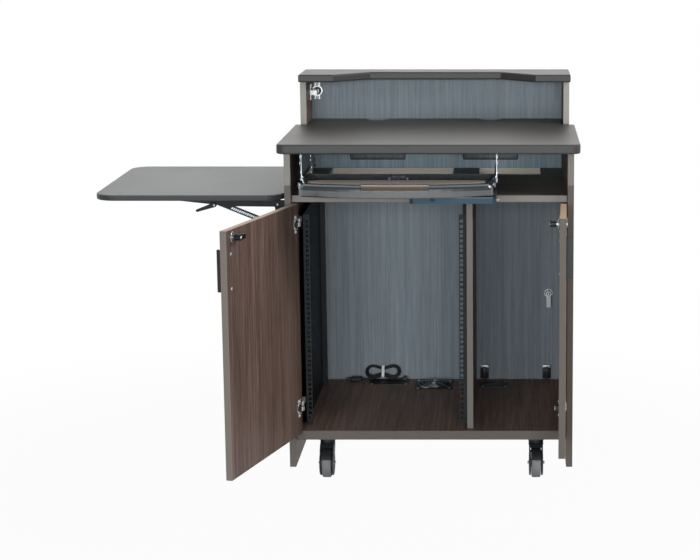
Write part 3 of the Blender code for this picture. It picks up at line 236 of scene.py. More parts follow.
class Layout(Graph):
    # a Geometry Nodes tree with named inputs, each given as its kind and value
    def __init__(self, name, inputs):
        super().__init__(bpy.data.node_groups.new(name, "GeometryNodeTree"))
        self.values = {}
        for label, (kind, value) in inputs.items():
            socket = self.tree.interface.new_socket(label, in_out="INPUT", socket_type=f"NodeSocket{kind}")
            if value is not None:
                self.values[socket.identifier] = value
        self.tree.interface.new_socket("Geometry", in_out="OUTPUT", socket_type="NodeSocketGeometry")

    def asked(self, label):
        # one of the tree's own inputs
        return self.node("NodeGroupInput", out=label)

    def vector(self, x=0.0, y=0.0, z=0.0):
        return self.node("ShaderNodeCombineXYZ", {}, {"X": x, "Y": y, "Z": z})

    def copies(self, points, instance, **sockets):
        sockets.update(Points=points, Instance=instance)
        return self.node("GeometryNodeInstanceOnPoints", {}, sockets)

    def bake(self, made, geometry, material):
        # end the tree and leave what it makes as the object's plain mesh
        real = self.node("GeometryNodeRealizeInstances", {}, {"Geometry": geometry})
        paint = self.node("GeometryNodeSetMaterial", {}, {"Geometry": real, "Material": material})
        self.feed(self.tree.nodes.new("NodeGroupOutput").inputs["Geometry"], paint)
        modifier = made.modifiers.new("layout", "NODES")
        modifier.node_group = self.tree
        for identifier, value in self.values.items():
            modifier[identifier] = value
        return plainMesh(made)


# finishes


def srgb(red, green, blue):
    def linear(c):
        c /= 255.0
        return c / 12.92 if c <= 0.04045 else ((c + 0.055) / 1.055) ** 2.4

    return (linear(red), linear(green), linear(blue), 1.0)


def dress(material, *names):
    for name in names:
        nodes[name].data.materials.clear()
        nodes[name].data.materials.append(material)


grain = {
    "bands": {"length": 0.7, "detail": 2.0, "shift": 3.1, "share": 0.24},
    "lines": {"length": 3.2, "detail": 3.0, "shift": 7.7, "share": 0.46},
    "fibres": {"length": 14.0, "detail": 2.0, "shift": 1.3, "share": 0.30},
}
grainStops = (0.41, 0.50, 0.59)
# painted light: edges above the shelf and above the worktop are painted paler, where more light falls
paintedLightBand = {"edge": (srgb(146, 141, 136), srgb(162, 157, 151)), "fromShelf": 0.902, "fromWorktop": 1.03}
flat = 0.8  # a surface counts as facing a direction above this cosine


def boardFinish(name, look):
    # printed wood grain on the faces, banding on the edges
    f = Finish(name)

    def streaks(layer):
        scale = [look[layer]] * 3
        scale["xyz".index(look["grain"])] = grain[layer]["length"]
        shift = grain[layer]["shift"]
        return f.noise(scale, grain[layer]["detail"], 0.62, (shift, shift * 0.7, shift * 1.3))

    layers = {layer: streaks(layer) for layer in grain}
    tone = sum(layers[layer] * grain[layer]["share"] for layer in grain)
    speckle = f.noise(1500.0, 2.0, 0.5)
    edge = f.mix(speckle, *look["edge"])
    core = f.mix(speckle, *look["core"])
    if "pale" in look:  # painted light: the banding is painted paler towards the top, where more light falls
        height = f.along(toTop)
        aboveShelf, aboveWorktop = height > paintedLightBand["fromShelf"], height > paintedLightBand["fromWorktop"]
        share = look["pale"] * aboveShelf + (1.0 - look["pale"]) * aboveWorktop
        edge = f.mix(share, edge, f.mix(speckle, *paintedLightBand["edge"]))
    if look["rawTop"]:  # bare upper edge
        edge = f.mix(f.facing(toTop) > flat, edge, core)
    if look["rawBehind"]:  # bare walls of the slots
        edge = f.mix(f.along(toBack) > 0.0, edge, core)
    colour = f.mix(abs(f.facing(look["faces"])) > flat, edge, f.ramp(tone, grainStops, look["wood"]))
    if "back" in look:  # another laminate on the far face
        colour = f.mix(f.facing(look["faces"]) > flat, colour, f.ramp(tone, grainStops, look["back"]))
    f.bump(layers["fibres"] * 0.7 + layers["lines"] * 0.3, 0.25, 0.0003)
    return f.set(Base_Color=colour, Roughness=0.42 + 0.16 * layers["lines"], Specular_IOR_Level=0.15)


walnut = (srgb(76, 61, 54), srgb(98, 79, 71), srgb(121, 100, 91))
ash = (srgb(111, 120, 127), srgb(122, 131, 138), srgb(135, 142, 148))
walnutLook = {
    "grain": "z", "bands": 24.0, "lines": 160.0, "fibres": 620.0, "wood": walnut, "faces": toRight,
    "edge": (srgb(106, 100, 95), srgb(122, 116, 110)), "core": (srgb(176, 142, 116), srgb(208, 182, 160)),
    "rawTop": False, "rawBehind": False,
}
boards = {
    # painted shade: darker edges low down; on the right, the open door's shadow and walnut reflection
    "left_side_panel": {"pale": 0.75, "edge": (srgb(97, 91, 87), srgb(111, 105, 100))},
    "right_side_panel": {"pale": 0.40, "edge": (srgb(86, 78, 72), srgb(99, 90, 83))},
    "divider_panel": {},
    "base_panel": {
        "grain": "y", "faces": toTop, "wood": (srgb(96, 75, 65), srgb(118, 95, 84), srgb(140, 116, 104)),
        "edge": (srgb(96, 87, 82), srgb(110, 101, 95)),
    },
    "equipment_shelf": {
        "grain": "x", "faces": toTop, "wood": (srgb(104, 97, 92), srgb(124, 116, 110), srgb(144, 135, 128)),
        "edge": (srgb(124, 118, 113), srgb(140, 134, 128)), "rawBehind": True,
        "core": (srgb(214, 203, 188), srgb(236, 227, 214)),
    },
    "left_door": {
        "faces": doorOut("left_door"), "rawTop": True, "edge": (srgb(114, 107, 101), srgb(132, 124, 117)),
    },
    "right_door": {
        "faces": doorOut("right_door"), "rawTop": True, "edge": (srgb(96, 88, 82), srgb(112, 103, 96)),
    },
    # painted light: the rear door's ash painted lighter and bluer here, edges too, for light under the
    # worktop
    "rear_rail": {
        "faces": toBack, "lines": 230.0, "edge": (srgb(96, 106, 114), srgb(112, 122, 130)),
        "wood": (srgb(132, 152, 163), srgb(150, 169, 179), srgb(166, 183, 192)),
    },
    "rear_door": {"faces": toBack, "bands": 34.0, "lines": 230.0, "wood": ash, "back": walnut},
}
for board, own in boards.items():
    dress(boardFinish(f"{board}_laminate", {**walnutLook, **own}), board)
print("boards dressed")


def topFinish(name, top, edge, rough):
    # smooth pressed laminate with a fine pebble, darker on its rolled edge, with a painted highlight on the
    # roll's upper part
    f = Finish(name)
    pebble, cloud = f.noise(2600.0, 2.0, 0.55), f.noise(7.0, 3.0, 0.5)
    up = f.facing(toTop)
    # painted highlight: the upper part of the rolled edge takes a share of the top's colour
    rim = f.mix(up > 0.30, edge, f.mix(pebble, edge, top[1]))
    colour = f.mix(up > 0.86, rim, f.mix(cloud * 0.7 + pebble * 0.3, *top))
    f.bump(pebble, 0.18, 0.0003)
    return f.set(Base_Color=colour, Roughness=rough + 0.10 * cloud, Specular_IOR_Level=0.26)


def steelFinish(name, dark, light, rough, scratch):
    # painted steel
    f = Finish(name)
    skin, patch = f.noise(900.0, 2.0, 0.5), f.noise(24.0, 3.0, 0.55)
    f.bump(skin, scratch, 0.0004)
    colour = f.mix(patch, dark, light)
    return f.set(Base_Color=colour, Roughness=rough + 0.14 * patch, Specular_IOR_Level=0.30)


def platedFinish(name, dark, light, rough, stretch):
    # bare or plated metal with a faint brushed grain
    f = Finish(name)
    brush, patch = f.noise(stretch, 3.0, 0.6), f.noise(40.0, 2.0, 0.5)
    f.bump(brush, 0.12, 0.0002)
    colour = f.mix(patch * 0.6 + brush * 0.4, dark, light)
    return f.set(Base_Color=colour, Metallic=1.0, Roughness=rough + 0.16 * brush)


def mouldedTone(f, relief):
    # fine bump of moulded plastic, with its wide patches and its whole tone
    pebble, patch = f.noise(1800.0, 2.0, 0.5), f.noise(14.0, 2.0, 0.5)
    f.bump(pebble, relief, 0.0003)
    return patch, patch * 0.6 + pebble * 0.4


def mouldedFinish(name, dark, light, rough, relief, coat=0.0, coatIndex=1.5, shine=0.32):
    # moulded plastic or rubber, with a clear coat where it is glossy
    f = Finish(name)
    patch, tone = mouldedTone(f, relief)
    return f.set(
        Base_Color=f.mix(tone, dark, light), Roughness=rough + 0.10 * patch, Specular_IOR_Level=shine,
        Coat_Weight=coat, Coat_Roughness=0.10, Coat_IOR=coatIndex,
    )


def trayFinish(name, split):
    # glossy moulding, with duller blue guides below the split
    f = Finish(name)
    patch, tone = mouldedTone(f, 0.02)
    isTray = f.along(toTop) > split
    guides = f.mix(tone, srgb(44, 66, 82), srgb(58, 80, 96))
    gloss = f.mix(tone, srgb(30, 38, 43), srgb(42, 50, 55))
    return f.set(
        Base_Color=f.mix(isTray, guides, gloss), Roughness=0.62 - 0.40 * isTray + 0.10 * patch,
        Specular_IOR_Level=0.32, Coat_Weight=isTray, Coat_Roughness=0.10, Coat_IOR=1.9,
    )


def lockFinish(name, axis, split, camShades):
    # nickel collar, with barrel and cam of another colour beyond the split
    f = Finish(name)
    patch = f.noise(60.0, 2.0, 0.5)
    isCam = f.along(axis) > split
    collar = f.mix(patch, srgb(126, 128, 130), srgb(160, 162, 163))
    return f.set(
        Base_Color=f.mix(isCam, collar, f.mix(patch, *camShades)), Metallic=1.0 - 0.4 * isCam,
        Roughness=0.28 + 0.12 * isCam + 0.08 * patch,
    )


def hingeFinish(name, middle, reach):
    # plated sheet, black within a reach of its middle
    f = Finish(name)
    brush = f.noise((700.0, 700.0, 60.0), 3.0, 0.6)
    isPlate = f.vectors("DISTANCE", f.spot(), tuple(middle)) > reach
    plate = f.mix(brush, srgb(196, 197, 193), srgb(222, 222, 218))
    blackMiddle = f.mix(brush, srgb(16, 17, 18), srgb(30, 31, 33))
    return f.set(
        Base_Color=f.mix(isPlate, blackMiddle, plate), Metallic=0.45 * isPlate,
        Roughness=0.44 - 0.10 * isPlate + 0.08 * brush,
    )


def casterPlateFinish(name, split):
    # zinc sheet above the split, black race below it
    f = Finish(name)
    patch = f.noise(50.0, 2.0, 0.5)
    isSheet = f.along(toTop) > split
    race = f.mix(patch, srgb(20, 21, 23), srgb(32, 33, 36))
    sheet = f.mix(patch, srgb(158, 163, 168), srgb(192, 196, 200))
    return f.set(
        Base_Color=f.mix(isSheet, race, sheet), Metallic=0.2 + 0.8 * isSheet,
        Roughness=0.40 - 0.12 * isSheet + 0.08 * patch,
    )


worktopShades = (srgb(60, 57, 54), srgb(74, 70, 66))
shelfShades = (srgb(116, 118, 117), srgb(132, 134, 133))
dress(topFinish("worktop_laminate", worktopShades, srgb(60, 59, 59), 0.38), "worktop", "top_cap")
dress(topFinish("side_shelf_laminate", shelfShades, srgb(56, 58, 60), 0.40), "side_shelf")
powderBlack = steelFinish("powder_black", srgb(9, 13, 17), srgb(15, 20, 25), 0.52, 0.20)
clipSteel = steelFinish("clip_steel", srgb(38, 48, 62), srgb(58, 70, 86), 0.30, 0.10)
zincGrain, nickelGrain = (60.0, 900.0, 900.0), (700.0, 700.0, 60.0)
zincPlate = platedFinish("zinc_plate", srgb(146, 152, 158), srgb(184, 189, 194), 0.30, zincGrain)
brightNickel = platedFinish("bright_nickel", srgb(150, 152, 153), srgb(182, 183, 183), 0.30, nickelGrain)
mouseGloss = mouldedFinish("mouse_tray_moulding", srgb(42, 54, 62), srgb(54, 66, 74), 0.55, 0.04, shine=0.14)
blackMoulding = mouldedFinish("black_moulding", srgb(22, 22, 24), srgb(38, 38, 41), 0.40, 0.18)
forkMoulding = mouldedFinish("fork_moulding", srgb(20, 22, 24), srgb(33, 35, 38), 0.46, 0.12)
tyreRubber = mouldedFinish("tyre_rubber", srgb(108, 108, 110), srgb(134, 134, 135), 0.62, 0.22)
sheathRubber = mouldedFinish("sheath_rubber", srgb(20, 20, 22), srgb(34, 34, 37), 0.52, 0.12)
insertGloss = mouldedFinish("palm_insert", srgb(72, 56, 47), srgb(92, 74, 63), 0.14, 0.02, 1.0, 1.9)
palmPad = mouldedFinish("palm_pad", srgb(122, 113, 104), srgb(142, 132, 122), 0.40, 0.16)
whiteTie = mouldedFinish("tie_strap", srgb(206, 206, 204), srgb(232, 232, 230), 0.46, 0.10)
seamDark = mouldedFinish("seam_shadow", srgb(20, 20, 22), srgb(28, 28, 30), 0.6, 0.05)
hingeBlackReach = {"cup": 0.0130, "arm": 0.0110}  # how far the black middle reaches
for node in [n for n in nodes if "hinge" in n]:
    low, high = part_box(node)
    dress(hingeFinish(f"{node}_finish", (low + high) / 2, hingeBlackReach[node.split("_")[-1]]), node)
dress(
    powderBlack, "left_rack_rail", "right_rack_rail", "front_wall_bracket", "rear_wall_bracket",
    "front_shelf_arm", "rear_shelf_arm", "front_brace", "rear_brace", "release_lever",
)
dress(zincPlate, "left_tray_hanger", "right_tray_hanger")
dress(casterPlateFinish("caster_plate_finish", split=0.1175), *[f"{c}_caster_plate" for c in corners])
dress(trayFinish("tray_moulding", split=0.8895), "keyboard_tray")
dress(mouseGloss, "mouse_tray")
dress(
    blackMoulding, "fan_frame", "fan_rotor", "left_cable_plate", "right_cable_plate", "mains_plug",
    "left_door_handle", "right_door_handle",
)
dress(forkMoulding, *[f"{c}_caster_fork" for c in corners])
print("fittings dressed")

# pieces
seated = 0.0002  # the clearance of a piece from what it sits on


def meshOf(name, bm):
    mesh = bpy.data.meshes.new(name)
    bm.to_mesh(mesh)
    bm.free()
    return mesh


def smoothen(mesh, angle=None):
    # without an angle the mesh keeps the sharp edges it has
    for polygon in mesh.polygons:
        polygon.use_smooth = True
    if angle is not None:
        mesh.set_sharp_from_angle(angle=math.radians(angle))


def settle(bm):
    bmesh.ops.remove_doubles(bm, verts=bm.verts, dist=1e-6)
    bmesh.ops.recalc_face_normals(bm, faces=bm.faces)
    return bm


def piece(name, bm, material, body, smooth=40.0):
    mesh = meshOf(name, settle(bm))
    smoothen(mesh, smooth)
    for look in material if isinstance(material, list) else [material]:
        mesh.materials.append(look)
    made = addObject(name, mesh)
    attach(made, body)
    return made


def addBlock(bm, low, high, ease=0.0, steps=2, place=None, material=0):
    # a block with eased edges, set in place by a matrix
    low, high = Vector(low), Vector(high)
    fit = Matrix.Translation((low + high) / 2) @ Matrix.Diagonal((*(high - low), 1.0))
    made = bmesh.ops.create_cube(bm, size=1.0, matrix=fit)["verts"]
    if ease:
        edges = list({e for v in made for e in v.link_edges})
        made = bmesh.ops.bevel(
            bm, geom=edges, offset=ease, segments=steps, profile=0.5, affect="EDGES", clamp_overlap=True
        )["verts"]
    for face in {f for v in made for f in v.link_faces}:
        face.material_index = material
    if place is not None:
        bmesh.ops.transform(bm, matrix=place, verts=made)


def addBlocks(bm, blocks, at):
    # blocks on one foot, each even about the middle of its width
    for block in blocks.values():
        (y0, y1), (z0, z1) = block["ys"], block["zs"]
        low, high = (-block["half"], y0, z0), (block["half"], y1, z1)
        addBlock(bm, low, high, block["ease"], block["steps"], at, block.get("look", 0))


def addTurned(bm, profile, place, steps=32, material=0):
    # a profile of (radius, height) turned about the place's own z axis
    rings = []
    for radius, height in profile:
        angles = [2 * math.pi * i / steps for i in range(steps)] if radius > 1e-7 else [0.0]
        spots = [Vector((radius * math.cos(a), radius * math.sin(a), height)) for a in angles]
        rings.append([bm.verts.new(place @ spot) for spot in spots])
    for one, two in zip(rings, rings[1:]):
        for i in range(steps):
            j = (i + 1) % steps
            quad = (one[i % len(one)], one[j % len(one)], two[j % len(two)], two[i % len(two)])
            quad = list(dict.fromkeys(quad))
            if len(quad) > 2:
                bm.faces.new(quad).material_index = material


def addStrip(bm, loops, closed=False):
    # skin over a run of closed loops, with the two ends capped or joined
    rings = [[bm.verts.new(p) for p in loop] for loop in loops]
    for one, two in list(zip(rings, rings[1:])) + ([(rings[-1], rings[0])] if closed else []):
        for i in range(len(one)):
            j = (i + 1) % len(one)
            bm.faces.new((one[i], one[j], two[j], two[i]))
    if not closed:
        bm.faces.new(list(reversed(rings[0])))
        bm.faces.new(rings[-1])


def roundedLoop(halfWide, halfTall, corner, radius, steps):
    # points round a rectangle, on arcs about the middles of its rounded corners
    spots = []
    for a, b, start in ((1, 1, 0), (-1, 1, 90), (-1, -1, 180), (1, -1, 270)):
        for k in range(steps):
            angle = math.radians(start + 90 * k / (steps - 1))
            x = a * (halfWide - corner) + radius * math.cos(angle)
            spots.append((x, b * (halfTall - corner) + radius * math.sin(angle)))
    return spots


def aim(point, direction):
    # a frame at the point whose z axis runs along the direction
    turn = Vector(direction).to_track_quat("Z", "Y").to_matrix().to_4x4()
    return Matrix.Translation(Vector(point)) @ turn


def around(middle, reach):
    return (middle - reach, middle + reach)


def grid(xs, ys, zs, direction):
    # spots for fasteners, given from the cabinet's front middle
    return [(cab(x, y, z), direction) for x in xs for y in ys for z in zs]


# tied mains lead, on the same route as its solid
lead = {
    "diameter": 0.0045, "loops": 4, "run": 0.070, "fold": 0.0140, "step": 0.0053, "layer": 0.0053,
    "waist": 0.0085, "lean": 62.0, "x": -0.186, "seat": 0.0003, "perLoop": 24,
    "plateTop": 0.1523, "doorFace": 0.6855,
}


def hankPoints():
    # flat loops about one middle, the later half of them one layer up
    points = []
    turns = lead["loops"] + 0.25
    for i in range(round(turns * lead["perLoop"]) + 1):
        turn = i / lead["perLoop"]
        offset = lead["fold"] + lead["step"] * abs(turns / 2 - turn)
        rise = min(max((turn - turns / 2) * 4 + 0.5, 0.0), 1.0)
        depth = lead["layer"] * rise * rise * (3 - 2 * rise)
        leg, along = divmod((turn % 1.0) * 4, 1.0)
        way = 1 if leg < 2 else -1
        if leg % 2 == 0:
            x = way * lead["run"] * (0.5 - along)
            draw = lead["waist"] * (1 + math.cos(2 * math.pi * x / lead["run"])) / 2
            points.append(Vector((x, -way * (offset - draw), depth)))
        else:
            angle = math.pi * along
            x = -way * (lead["run"] / 2 + offset * math.sin(angle))
            points.append(Vector((x, -way * offset * math.cos(angle), depth)))
    out = Vector((lead["fold"] + lead["step"] * turns / 2 + 2 * lead["diameter"], 0.0, 0.0))
    return [points[0] + out] + points + [points[-1] - out]


flatRoute = hankPoints()
lean = Matrix.Rotation(math.radians(lead["lean"]), 4, "X")
leaned = [lean @ p for p in flatRoute]
clear = lead["seat"] + lead["diameter"] / 2
hankY = lead["doorFace"] - clear - max(p.y for p in leaned)
hankZ = lead["plateTop"] + clear - min(p.z for p in leaned)
hankPlace = Matrix.Translation(cab(lead["x"], hankY, hankZ)) @ lean
route = [hankPlace @ p for p in flatRoute]
leadLength = sum((b - a).length for a, b in zip(route, route[1:]))
leadCurve = bpy.data.curves.new("mainsLead", "CURVE")
leadCurve.dimensions = "3D"
leadCurve.bevel_depth = lead["diameter"] / 2
leadCurve.bevel_resolution = 3
leadCurve.use_fill_caps = True
leadLine = leadCurve.splines.new("POLY")
leadLine.points.add(len(route) - 1)
for point, p in zip(leadLine.points, route):
    point.co = (*p, 1.0)
leadLine.use_smooth = True
leadCurve.materials.append(sheathRubber)
mainsLead = addObject("mainsLead", leadCurve)
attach(mainsLead, "cabinet")
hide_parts("mains_lead_hank")

tie = {
    "wide": 0.009, "thick": 0.0011, "tall": 0.0196, "deep": 0.0054, "corner": 0.004, "ease": 0.35,
    "tabHalf": (0.0034, 0.005), "tabThick": 0.0026, "tabEase": 0.0008, "tabDrop": 0.2,
}


def tieLoop(grow, x):
    loop = roundedLoop(tie["tall"], tie["deep"], tie["corner"], tie["corner"] + grow, 6)
    return [hankPlace @ Vector((x, y, lead["layer"] / 2 + z)) for y, z in loop]


bm = bmesh.new()
half, eased = tie["wide"] / 2, tie["thick"] * tie["ease"]
section = [
    (tie["thick"] - eased, -half), (tie["thick"], -half + eased), (tie["thick"], half - eased),
    (tie["thick"] - eased, half), (0.0, half), (0.0, -half),
]
addStrip(bm, [tieLoop(grow, x) for grow, x in section], closed=True)
tabOut = lead["layer"] / 2 + tie["deep"] + tie["thick"]
tabAt = hankPlace @ Matrix.Translation((0.0, -tie["tall"] * tie["tabDrop"], tabOut))
tabX, tabY = tie["tabHalf"]
addBlock(bm, (-tabX, -tabY, 0.0), (tabX, tabY, tie["tabThick"]), tie["tabEase"], 2, tabAt)
leadTie = piece("leadTie", bm, whiteTie, "cabinet")

# strain relief: ribs that taper towards the cord
relief = {
    "bore": 0.0023, "rib": 0.0046, "ribTaper": 0.00034, "groove": 0.0037, "grooveTaper": 0.00024,
    "ribs": 5, "pitch": 0.004, "length": 0.0206, "ribTo": 0.0026, "grooveFrom": 0.0029, "grooveTo": 0.0039,
}
profile = [(relief["bore"], 0.0)]
for k in range(relief["ribs"]):
    rib, groove = relief["rib"] - relief["ribTaper"] * k, relief["groove"] - relief["grooveTaper"] * k
    at = relief["pitch"] * k
    profile += [(rib, at), (rib, at + relief["ribTo"])]
    profile += [(groove, at + relief["grooveFrom"]), (groove, at + relief["grooveTo"])]
profile += [(relief["bore"], relief["length"]), profile[0]]
bm = bmesh.new()
addTurned(bm, profile, aim(route[0] + Vector((seated, 0.0, 0.0)), toLeft), 20)
leadRelief = piece("leadRelief", bm, sheathRubber, "cabinet")
print(f"mains lead {leadLength:.3f} m")

# screws, rivets and nuts, set on their spots by one node tree


def headMesh(name, profile, steps, cross=None):
    bm = bmesh.new()
    addTurned(bm, profile, Matrix.Identity(4), steps)
    made = addObject(name, meshOf(name, settle(bm)))
    if cross:
        cutters = []
        low = (-cross["long"], -cross["wide"], cross["top"] - cross["deep"])
        high = (cross["long"], cross["wide"], cross["top"] + cross["deep"])
        for turn in (0.0, 90.0):
            bm = bmesh.new()
            addBlock(bm, low, high, place=Matrix.Rotation(math.radians(turn), 4, "Z"))
            cutters.append(addObject(f"{name}Cut", meshOf(f"{name}Cut", bm)))
            cut = made.modifiers.new("recess", "BOOLEAN")
            cut.operation = "DIFFERENCE"
            cut.solver = "EXACT"
            cut.object = cutters[-1]
        plainMesh(made)
        for cutter in cutters:
            bpy.data.objects.remove(cutter)
    return made


panProfile = [
    (0.0, -0.0004), (0.0036, -0.0004), (0.0036, 0.0004), (0.0033, 0.0011), (0.0025, 0.0017), (0.0013, 0.0020),
    (0.0, 0.0021),
]
rivetProfile = [
    (0.0, -0.0004), (0.0050, -0.0004), (0.0050, 0.0005), (0.0043, 0.0017), (0.0028, 0.0026), (0.0, 0.0030),
]
nutProfile = [
    (0.0, -0.0004), (0.0062, -0.0004), (0.0062, 0.0034), (0.0054, 0.0042), (0.0036, 0.0042), (0.0034, 0.0060),
    (0.0, 0.0064),
]
panCross = {"long": 0.0019, "wide": 0.00045, "top": 0.0021, "deep": 0.0011}
heads = {
    "pan": headMesh("panHead", panProfile, 20, panCross),
    "rivet": headMesh("rivetHead", rivetProfile, 20),
    "nut": headMesh("axleNut", nutProfile, 6),
}


def fasteners(name, body, kind, size, spots, material=brightNickel):
    mesh = bpy.data.meshes.new(name)
    mesh.from_pydata([tuple(p) for p, _ in spots], [], [])
    facing = mesh.attributes.new("facing", "FLOAT_VECTOR", "POINT")
    for mark, (_, direction) in zip(facing.data, spots):
        mark.vector = Vector(direction).normalized()
    made = addObject(name, mesh)
    g = Layout("fastenerHeads", {"Geometry": ("Geometry", None), "Head size": ("Float", size)})
    head = g.node("GeometryNodeObjectInfo", {}, {"Object": heads[kind]}, "Geometry")
    way = g.node("GeometryNodeInputNamedAttribute", {"data_type": "FLOAT_VECTOR"}, {"Name": "facing"})
    turn = g.node("FunctionNodeAlignRotationToVector", {"axis": "Z"}, {"Vector": way})
    spread = g.copies(g.asked("Geometry"), head, Rotation=turn, Scale=g.asked("Head size"))
    smoothen(g.bake(made, spread, material), 32.0)
    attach(made, body)


# hinge arms and cable plates
hinge = {"armStep": 0.018, "cupStep": 0.0215, "handleZ": 0.732, "handleStep": 0.048, "handleFace": 0.0190}
cablePlate = {"top": 0.1523, "left": ((-0.220, -0.106), (0.600,)), "right": ((0.148, 0.224), (0.567, 0.631))}
spots = []
for door in doors.values():
    for z in door["hinges"]:
        inside = toRight if door["armX"] < 0 else toLeft
        spots += grid((door["armX"],), (door["armY"],), around(z, hinge["armStep"]), inside)
for side in ("left", "right"):
    spots += grid(*cablePlate[side], (cablePlate["top"],), toTop)
fasteners("cabinetScrews", "cabinet", "pan", 1.0, spots)

# fan
fan = {"x": -0.012, "y": 0.597, "top": 0.1512, "screwReach": 0.0525}
fanXs, fanYs = around(fan["x"], fan["screwReach"]), around(fan["y"], fan["screwReach"])
fasteners("fanScrews", "cabinet", "pan", 1.25, grid(fanXs, fanYs, (fan["top"],), toTop))

# side-shelf brackets on the wall
bracket = {
    "ys": (0.085, 0.600), "wallX": -0.4308, "wallReach": 0.0165, "wallZs": (0.752, 0.790, 0.832),
    "shelfXs": (-0.500, -0.600, -0.720), "shelfZ": 0.8487, "shelfShift": -0.0145,
    "pins": ((-0.456, 0.834), (-0.444, 0.760)), "pinReach": 0.0102,
    "leverPin": (-0.646, 0.8325), "leverReach": 0.0112,
}
spots = []
for y in bracket["ys"]:
    spots += grid((bracket["wallX"],), around(y, bracket["wallReach"]), bracket["wallZs"], toLeft)
fasteners("bracketScrews", "cabinet", "pan", 1.0, spots, zincPlate)

# tray hangers
hanger = {"xs": (-0.3665, 0.1880), "ys": (0.060, 0.220, 0.380), "z": 0.9975}
spots = grid(hanger["xs"], hanger["ys"], (hanger["z"],), toFloor)
fasteners("hangerScrews", "cabinet", "pan", 1.0, spots, zincPlate)

# caster plates
caster = {"xs": (-0.318, 0.318), "ys": (0.065, 0.620), "screwReach": 0.0235, "screwZ": 0.1177}
casterAt = dict(zip(corners, [(x, y) for y in caster["ys"] for x in caster["xs"]]))
reach = caster["screwReach"]
spots = []
for x, y in casterAt.values():
    spots += grid(around(x, reach), around(y, reach), (caster["screwZ"],), toFloor)
fasteners("casterScrews", "cabinet", "pan", 1.2, spots, zincPlate)

# hinge cups and handles
for name, door in doors.items():
    spots = []
    for z in door["hinges"]:
        for level in around(z, hinge["cupStep"]):
            spots.append(onDoor(name, (door["cupX"], door["face"], level), door["inward"]))
    if "handleX" in door:
        for level in around(hinge["handleZ"], hinge["handleStep"]):
            spots.append(onDoor(name, (door["handleX"], hinge["handleFace"], level), toBack))
    fasteners(f"{name}Screws", name, "pan", 1.45, spots)

# side-shelf arms, and the pins of brackets and lever
shelfSpots, pinSpots = [], []
for y in bracket["ys"]:
    shelfSpots += grid(bracket["shelfXs"], (y + bracket["shelfShift"],), (bracket["shelfZ"],), toFloor)
    for x, z in bracket["pins"]:
        pinSpots.append((cab(x, y - bracket["pinReach"], z), toFront))
        pinSpots.append((cab(x, y + bracket["pinReach"], z), toBack))
fasteners("shelfScrews", "side_shelf", "pan", 1.0, shelfSpots, zincPlate)
fasteners("bracketRivets", "cabinet", "rivet", 0.95, pinSpots)
x, z = bracket["leverPin"]
leverSpot = cab(x, bracket["ys"][0] - bracket["leverReach"], z)
fasteners("leverRivet", "side_shelf", "rivet", 0.95, [(leverSpot, toFront)])


def axleOf(corner):
    low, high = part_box(f"{corner}_wheel")
    return (low + high) / 2


for corner in corners:
    low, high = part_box(f"{corner}_caster_fork")
    _, y, z = axleOf(corner)
    spots = [(Vector((low.x, y, z)), toLeft), (Vector((high.x, y, z)), toRight)]
    fasteners(f"{corner}AxleNuts", f"{corner}_caster_fork", "nut", 0.9, spots, zincPlate)
print("fasteners set")

# lock rings and key faces
lockRing = {"inner": 0.0099, "outer": 0.0150, "thick": 0.0042, "ease": 0.0008, "bevel": 0.001}
lockLug = {"count": 8, "half": 0.0014, "sunk": 0.0012, "proud": 0.0009, "inset": 0.0010, "ease": 0.0004}
keyFace = {"proud": 0.0025, "slotHalf": (0.0009, 0.0042), "slotZs": (0.0010, 0.0014), "ease": 0.0002}
keyProfile = [(0.0, 0.0), (0.0088, 0.0), (0.0088, 0.0006), (0.0080, 0.0011), (0.0, 0.0011)]
blackCam = (srgb(24, 25, 27), srgb(38, 39, 42))
plainCam = (srgb(150, 156, 160), srgb(176, 181, 184))
frontLock = {
    "z": 0.8255, "outer": 0.0, "into": 1.0, "inner": 0.019, "reach": 0.027, "camLong": 0.0185,
    "cam": blackCam,
}
locks = {
    "left_door": {"x": 0.0765, **frontLock},
    "right_door": {"x": 0.1595, **frontLock},
    "rear_door": {
        "x": 0.368, "z": 0.444, "outer": 0.7045, "into": -1.0, "inner": 0.6855, "reach": 0.024,
        "camLong": 0.0032, "cam": plainCam,
    },
}
